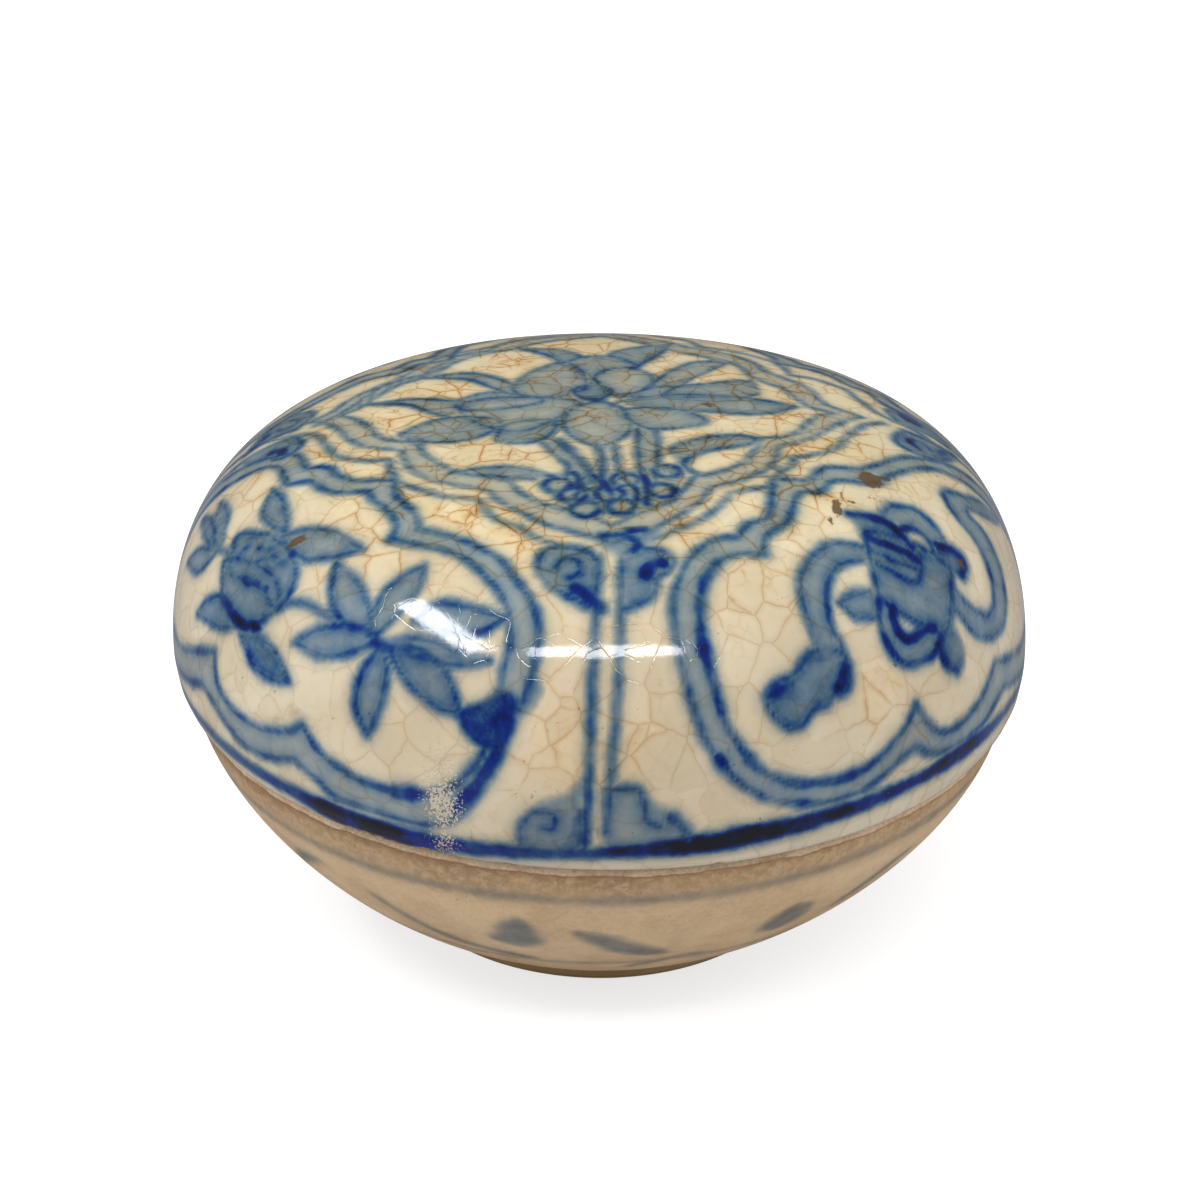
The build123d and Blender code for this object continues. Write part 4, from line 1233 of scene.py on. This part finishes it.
def lay_out_for_bake(mesh, along, split, total):
    """A UV map with the outside as one large disc and the inside as a small one."""
    spots = vertex_array(mesh)
    azimuth = angles_round(spots)
    corner_vertex = np.empty(len(mesh.loops), int)
    mesh.loops.foreach_get("vertex_index", corner_vertex)
    counts = np.empty(len(mesh.polygons), int)
    mesh.polygons.foreach_get("loop_total", counts)
    face_of_corner = np.repeat(np.arange(len(counts)), counts)
    middle = np.bincount(face_of_corner, along[corner_vertex]) / counts
    first_disc = (middle < split)[face_of_corner]
    reach = along[corner_vertex]
    turn = azimuth[corner_vertex]
    large, small = 0.395, 0.18  # radii of the discs, as shares of the map's side
    outer_first = split > total / 2
    radii = (large, small) if outer_first else (small, large)
    centres = ((0.40, 0.40), (0.815, 0.815)) if outer_first else ((0.815, 0.815), (0.40, 0.40))
    scale_first, scale_second = radii[0] / split, radii[1] / (total - split)
    radius = np.where(first_disc, reach * scale_first, (total - reach) * scale_second)
    centre_x = np.where(first_disc, centres[0][0], centres[1][0])
    centre_y = np.where(first_disc, centres[0][1], centres[1][1])
    layout = np.column_stack([centre_x + radius * np.sin(turn), centre_y - radius * np.cos(turn)])
    mesh.uv_layers.new(name="OFBake").data.foreach_set("uv", layout.astype(np.float32).ravel())


def stain_cover(mesh, chart, outside):
    """Darker brownish patches, rust, dark marks and the worn patch: each spot's (x, y, half width, half
    depth, strength).
    """
    for name, spots in (
        ("darker_patches", [
            (0, -66, 16, 16, 0.55), (-4, -60, 12, 12, 0.4), (-26, -60, 14, 10, 0.3),
            (20, -60, 18, 12, 0.25), (42, -47, 14, 12, 0.35), (8, -74, 30, 8, 0.4), (0, 60, 30, 20, 0.4),
        ]),
        ("rust", [
            (-12, -36, 5, 4, 1.0), (33, -26, 7, 5, 0.9), (-22, -29, 6, 5, 0.8), (20, -30, 7, 6, 0.8),
            (-27, -3, 4, 5, 0.8), (16, -2, 4, 3, 0.8), (-23, -71, 4, 3, 0.7), (40, -53, 9, 5, 0.7),
            (24, -38, 6, 5, 0.8), (-26, -38, 6, 5, 0.6), (-9, -38, 8, 6, 1.0), (28, -26, 5, 3, 1.0),
            (33, -25, 4, 3, 1.0), (-16, -33, 6, 5, 0.9), (0, -66, 14, 10, 0.25),
        ]),
        ("mark", [
            (35, -19.3, 2.3, 2.6, 1.0), (29.8, -28, 1.0, 2.6, 0.9), (28.8, -31, 0.7, 1.6, 0.7),
            (-38.7, -30.6, 2.1, 1.1, 0.85), (31.5, -26, 2.4, 0.5, 0.7), (35, -24, 2.6, 0.4, 0.62),
            (30.6, -24.6, 0.5, 1.4, 0.6), (37.2, -18, 1.2, 0.8, 0.8), (48.6, -28, 1.8, 1.5, 0.6),
            (-21.7, -20.5, 0.6, 0.9, 0.7), (15, 2.2, 1.6, 2.0, 0.62), (53, -33, 0.5, 0.5, 0.6),
            (39.8, -48.4, 0.5, 0.4, 0.7), (43, -53.6, 0.8, 0.4, 0.55), (-25, -31.8, 0.6, 0.8, 0.6),
        ]),
        ("rubbed", [
            (-23.5, -71.5, 4.2, 6.0, 0.9), (-22, -67, 3.2, 4, 0.7), (-25, -76.5, 4, 4, 0.7),
        ]),
    ):
        keep_values(mesh, name, spots_of(chart, spots) * outside)


def chip_rim(mesh, spots, azimuth, arc_left):
    """Small chips along the cover's rim, cut into the mesh: how deep each vertex is in one, 0 to 1."""
    chip = np.zeros(len(spots))
    for degrees, width, depth in (
        (-29, 9.0, 1.0), (-20, 6.0, 0.8), (-39, 8.0, 0.9), (-52, 6.0, 0.7), (-11, 3.0, 0.5), (14, 2.0, 0.5),
        (41, 2.6, 0.7), (56, 4.0, 0.6), (150, 5.0, 0.9), (-120, 3.0, 0.7), (95, 2.5, 0.6),
    ):
        turn = np.angle(np.exp(1j * (azimuth - math.radians(degrees))))
        beside = np.degrees(turn) * BOX_RADIUS * math.pi / 180
        ragged = 0.25 * np.sin(beside * 3.1 + degrees) + 0.15 * np.sin(beside * 7.3)
        across = np.clip(1 - (beside / width * 2) ** 2, 0, 1)
        down = np.clip(1 - np.abs(arc_left + 0.2) / (1.5 + ragged), 0, 1)
        chip = np.maximum(chip, depth * across * down)
    inward = np.column_stack([-np.sin(azimuth), np.cos(azimuth), np.full(len(spots), 0.8)])
    moved = spots + inward * (chip * CHIP_DEPTH)[:, None]
    mesh.vertices.foreach_set("co", (moved * MM).ravel())
    return chip


def make_cover(tree, glaze):
    """The cover, painted, stained and chipped, as one mesh in its place."""
    profile = cover_profile()
    lengths = lengths_along(profile)
    to_rim = np.abs(profile - (COVER_RIM_RADIUS - COVER_RIM_ROUNDING, SEAM_HEIGHT)).sum(axis=1)
    rim_arc = lengths[np.argmin(to_rim)]

    def spacing(radius, height, along):
        if along < rim_arc:
            return CROWN_ROW if radius < CROWN_RADIUS else PAINTED_ROW
        return RIM_ROW if height < SEAM_HEIGHT + 1.5 else COVER_INSIDE_ROW

    points, marks = spaced(profile, spacing)
    skin_end = rim_arc + 2  # the painted skin goes just round the rim
    inside = (marks > rim_arc + 4).astype(float)
    piece = turned_piece("porcelain_cover", points, marks, inside, glaze, tree, BOX_HEIGHT - SEAM_HEIGHT)
    mesh = piece.data
    along = point_values(mesh, "along")
    spots = vertex_array(mesh)
    azimuth = angles_round(spots)
    chart = np.column_stack([along * np.sin(azimuth), -along * np.cos(azimuth)])

    def lift(design):
        reach = np.hypot(design[:, 0], design[:, 1])
        turn = angles_round(design)
        radius = np.interp(reach, lengths, profile[:, 0])
        height = np.interp(reach, lengths, profile[:, 1])
        x = radius * np.sin(turn)
        share = np.clip((height - SEAM_HEIGHT) / (BOX_HEIGHT - SEAM_HEIGHT), 0, 1)
        return np.column_stack([x, -radius * np.cos(turn), leaning(x, height, share)])

    outside = along < skin_end
    brush = Brushwork(chart[outside], spots[outside], lift, seed=7)
    paint_cover(brush, rim_arc)
    for layer in brush.edge:
        keep_paint(mesh, outside, layer, brush.edge[layer], brush.load[layer])

    stain_cover(mesh, chart, outside)
    chip = chip_rim(mesh, spots, azimuth, rim_arc - along)
    rest = np.clip(1 - np.abs(along - rim_arc - 2.4) / 2.6, 0, 1) * 1.4
    keep_values(mesh, "bare", np.maximum(np.clip(chip * 4, 0, 1), np.clip(rest, 0, 1)))
    lay_out_for_bake(mesh, along, skin_end, marks[-1])
    return piece


def make_base(tree, glaze):
    """The base, painted, with bare clay on its neck, ledge and foot, as one mesh in its place."""
    profile = base_profile()
    lengths = lengths_along(profile)
    ledge_arc = lengths[np.flatnonzero(profile[:, 0] > NECK_RADIUS + 1)[0]]

    def spacing(radius, height, along):
        if along > ledge_arc:
            return BASE_ROW if radius > FOOT_BORE + 1 else INSIDE_ROW
        return RIM_ROW if height > SEAM_HEIGHT - 1 else INSIDE_ROW

    points, marks = spaced(profile, spacing)
    inside = (marks < ledge_arc - 6).astype(float)
    piece = turned_piece("porcelain_base", points, marks, inside, glaze, tree, SEAM_HEIGHT)
    mesh = piece.data
    along = point_values(mesh, "along")
    spots = vertex_array(mesh)
    azimuth = angles_round(spots)
    bowl = bowl_curve(FOOT_RADIUS, BASE_RIM_RADIUS, FOOT_HEIGHT, SEAM_HEIGHT)

    def lift(design):
        turn = design[:, 0] / BASE_RIM_RADIUS
        radius = np.interp(design[:, 1], bowl[:, 1], bowl[:, 0])
        x = radius * np.sin(turn)
        share = np.clip((SEAM_HEIGHT - design[:, 1]) / SEAM_HEIGHT, 0, 1)
        return np.column_stack([x, -radius * np.cos(turn), leaning(x, design[:, 1], share)])

    outside = (along > ledge_arc) & (spots[:, 2] > FOOT_HEIGHT)
    chart = np.column_stack([azimuth * BASE_RIM_RADIUS, spots[:, 2]])
    wrapped = np.vstack([chart[outside] + (turns * math.tau * BASE_RIM_RADIUS, 0) for turns in (-1, 0, 1)])
    brush = Brushwork(wrapped, np.tile(spots[outside], (3, 1)), lift, seed=11)
    paint_base(brush)
    for layer in brush.edge:
        edges = brush.edge[layer].reshape(3, -1)
        nearest = edges.argmin(axis=0)
        pick = (nearest, np.arange(edges.shape[1]))
        loads = brush.load[layer].reshape(3, -1)
        keep_paint(mesh, outside, layer, edges[pick], loads[pick])

    neck = np.clip((spots[:, 2] - SEAM_HEIGHT - 1.2) / 1.5, 0, 1) * (along < ledge_arc + 1)
    ledge = np.clip(1 - np.abs(along - ledge_arc + 1) / 4, 0, 1) * 1.5
    foot = np.clip((0.5 - spots[:, 2]) / 0.4, 0, 1) * (np.hypot(spots[:, 0], spots[:, 1]) > FOOT_BORE - 0.5)
    keep_values(mesh, "bare", np.clip(np.maximum(np.maximum(neck, ledge), foot), 0, 1))
    lay_out_for_bake(mesh, along, ledge_arc, marks[-1])
    return piece


# ---------------------------------------------------------------- stage, lights and camera


def make_floor():
    """A pale lit table top, white to the camera, with the box's soft shadow, partly real and partly painted:
    the glow that only the camera sees is dimmer close to the box.
    """
    mesh = bpy.data.meshes.new("table_top")
    half = 4.0
    below = -0.02 * MM  # just clear of the foot
    corners = [(-half, -half, below), (half, -half, below), (half, half, below), (-half, half, below)]
    mesh.from_pydata(corners, [], [(0, 1, 2, 3)])
    floor = bpy.data.objects.new("table_top", mesh)
    bpy.context.scene.collection.objects.link(floor)
    material = bpy.data.materials.new("pale_table")
    material.use_nodes = True
    wire = Wiring(material.node_tree)
    material.node_tree.nodes.clear()
    place = wire.node("ShaderNodeTexCoord").outputs["Object"]
    reach = wire.node("ShaderNodeVectorMath", {0: place}, operation="LENGTH").outputs["Value"]
    # Painted shadow: the camera-only glow is 0.72 out to 3 cm from the box's axis and rises to 0.96 at 10 cm,
    # darkening the table round the box.
    glow_with_painted_shadow = wire.smoothstep(reach, 0.03, 0.10, 0.72, 0.96)
    camera_only = wire.node("ShaderNodeLightPath").outputs["Is Camera Ray"]
    mirrored = wire.node("ShaderNodeLightPath").outputs["Is Glossy Ray"]
    paleness = wire.blend(mirrored, (0.60, 0.60, 0.61, 1), (0.20, 0.20, 0.21, 1))
    paleness = wire.blend(camera_only, paleness, (0.30, 0.30, 0.30, 1))
    matt = wire.node("ShaderNodeBsdfDiffuse", {"Color": paleness})
    shown = wire.times(glow_with_painted_shadow, camera_only)
    lit = wire.node("ShaderNodeEmission", {"Color": (1, 1, 1, 1), "Strength": shown})
    both = wire.node("ShaderNodeAddShader", {0: matt.outputs[0], 1: lit.outputs[0]})
    out = wire.node("ShaderNodeOutputMaterial")
    wire.join(both.outputs[0], out.inputs["Surface"])
    mesh.materials.append(material)


def studio_lamp(name, azimuth, elevation, distance, width, height, power, roll=0.0, mirrored=True):
    """A rectangular lamp that faces the box. Azimuth 0 is in front of it and 90 on its right."""
    lamp = bpy.data.lights.new(name, "AREA")
    lamp.shape = "RECTANGLE"
    lamp.size, lamp.size_y = width, height
    lamp.energy = power
    light = bpy.data.objects.new(name, lamp)
    bpy.context.scene.collection.objects.link(light)
    turn, rise = math.radians(azimuth), math.radians(elevation)
    way = Vector((math.sin(turn) * math.cos(rise), -math.cos(turn) * math.cos(rise), math.sin(rise)))
    aim = Vector((0, 0, BOX_HEIGHT * MM * 0.8))
    light.location = aim + way * distance
    light.rotation_euler = (way.to_track_quat("Z", "Y") @ Quaternion((0, 0, 1), roll)).to_euler()
    light.visible_glossy = mirrored


def light_the_box():
    """A soft surround, two lamps that show as highlights in the glaze, and three that only light it."""
    world = bpy.data.worlds.new("soft_surround")
    bpy.context.scene.world = world
    world.use_nodes = True
    background = world.node_tree.nodes["Background"]
    background.inputs["Color"].default_value = (0.94, 0.97, 1.0, 1)
    wire = Wiring(world.node_tree)
    rays = wire.node("ShaderNodeLightPath").outputs
    brightness = wire.smoothstep(rays["Is Glossy Ray"], 0.0, 1.0, 0.52, 0.16)
    brightness = wire.plus(brightness, wire.times(rays["Is Camera Ray"], 0.6))
    wire.join(brightness, background.inputs["Strength"])
    studio_lamp("front_strip", 1.75, 51.5, 0.60, 0.35, 0.058, 0.99)
    studio_lamp("front_fill", 8, 51.5, 0.60, 0.62, 0.058, 0.78, mirrored=False)
    studio_lamp("left_strip", -57, 51, 0.60, 0.30, 0.075, 1.5, roll=math.radians(-18))
    studio_lamp("right_soft", 90, 20, 0.9, 0.8, 0.6, 4.4, mirrored=False)
    studio_lamp("left_soft", -95, 16, 0.9, 0.8, 0.6, 3.8, mirrored=False)


def place_camera():
    """A close camera in front of the box and above it."""
    target = Vector((0, 0, CAMERA_AIM * MM))
    elevation = math.radians(CAMERA_RISE)
    camera = bpy.data.cameras.new("camera")
    camera.sensor_width = 36.0
    camera.lens = 62.3
    camera.shift_y = 0.0397
    camera.clip_start = 0.01
    holder = bpy.data.objects.new("camera", camera)
    bpy.context.scene.collection.objects.link(holder)
    away = Vector((0, -math.cos(elevation), math.sin(elevation)))
    holder.location = target + CAMERA_DISTANCE * MM * away
    holder.rotation_euler = (math.pi / 2 - elevation, 0, 0)
    bpy.context.scene.camera = holder
    bpy.context.scene.view_settings.view_transform = "Standard"


groups = {
    "crackle": crackle_group(),
    "cobalt": cobalt_group(),
    "stain": stain_group(),
    "bare": bare_clay_group(),
}
tree = turning_tree()
cover = make_cover(tree, painted_cover_glaze(groups))
base = make_base(tree, stained_base_glaze(groups))
for piece, node in ((cover, "cover"), (base, "base")):
    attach(piece, node)
    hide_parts(node)

make_floor()
light_the_box()
place_camera()
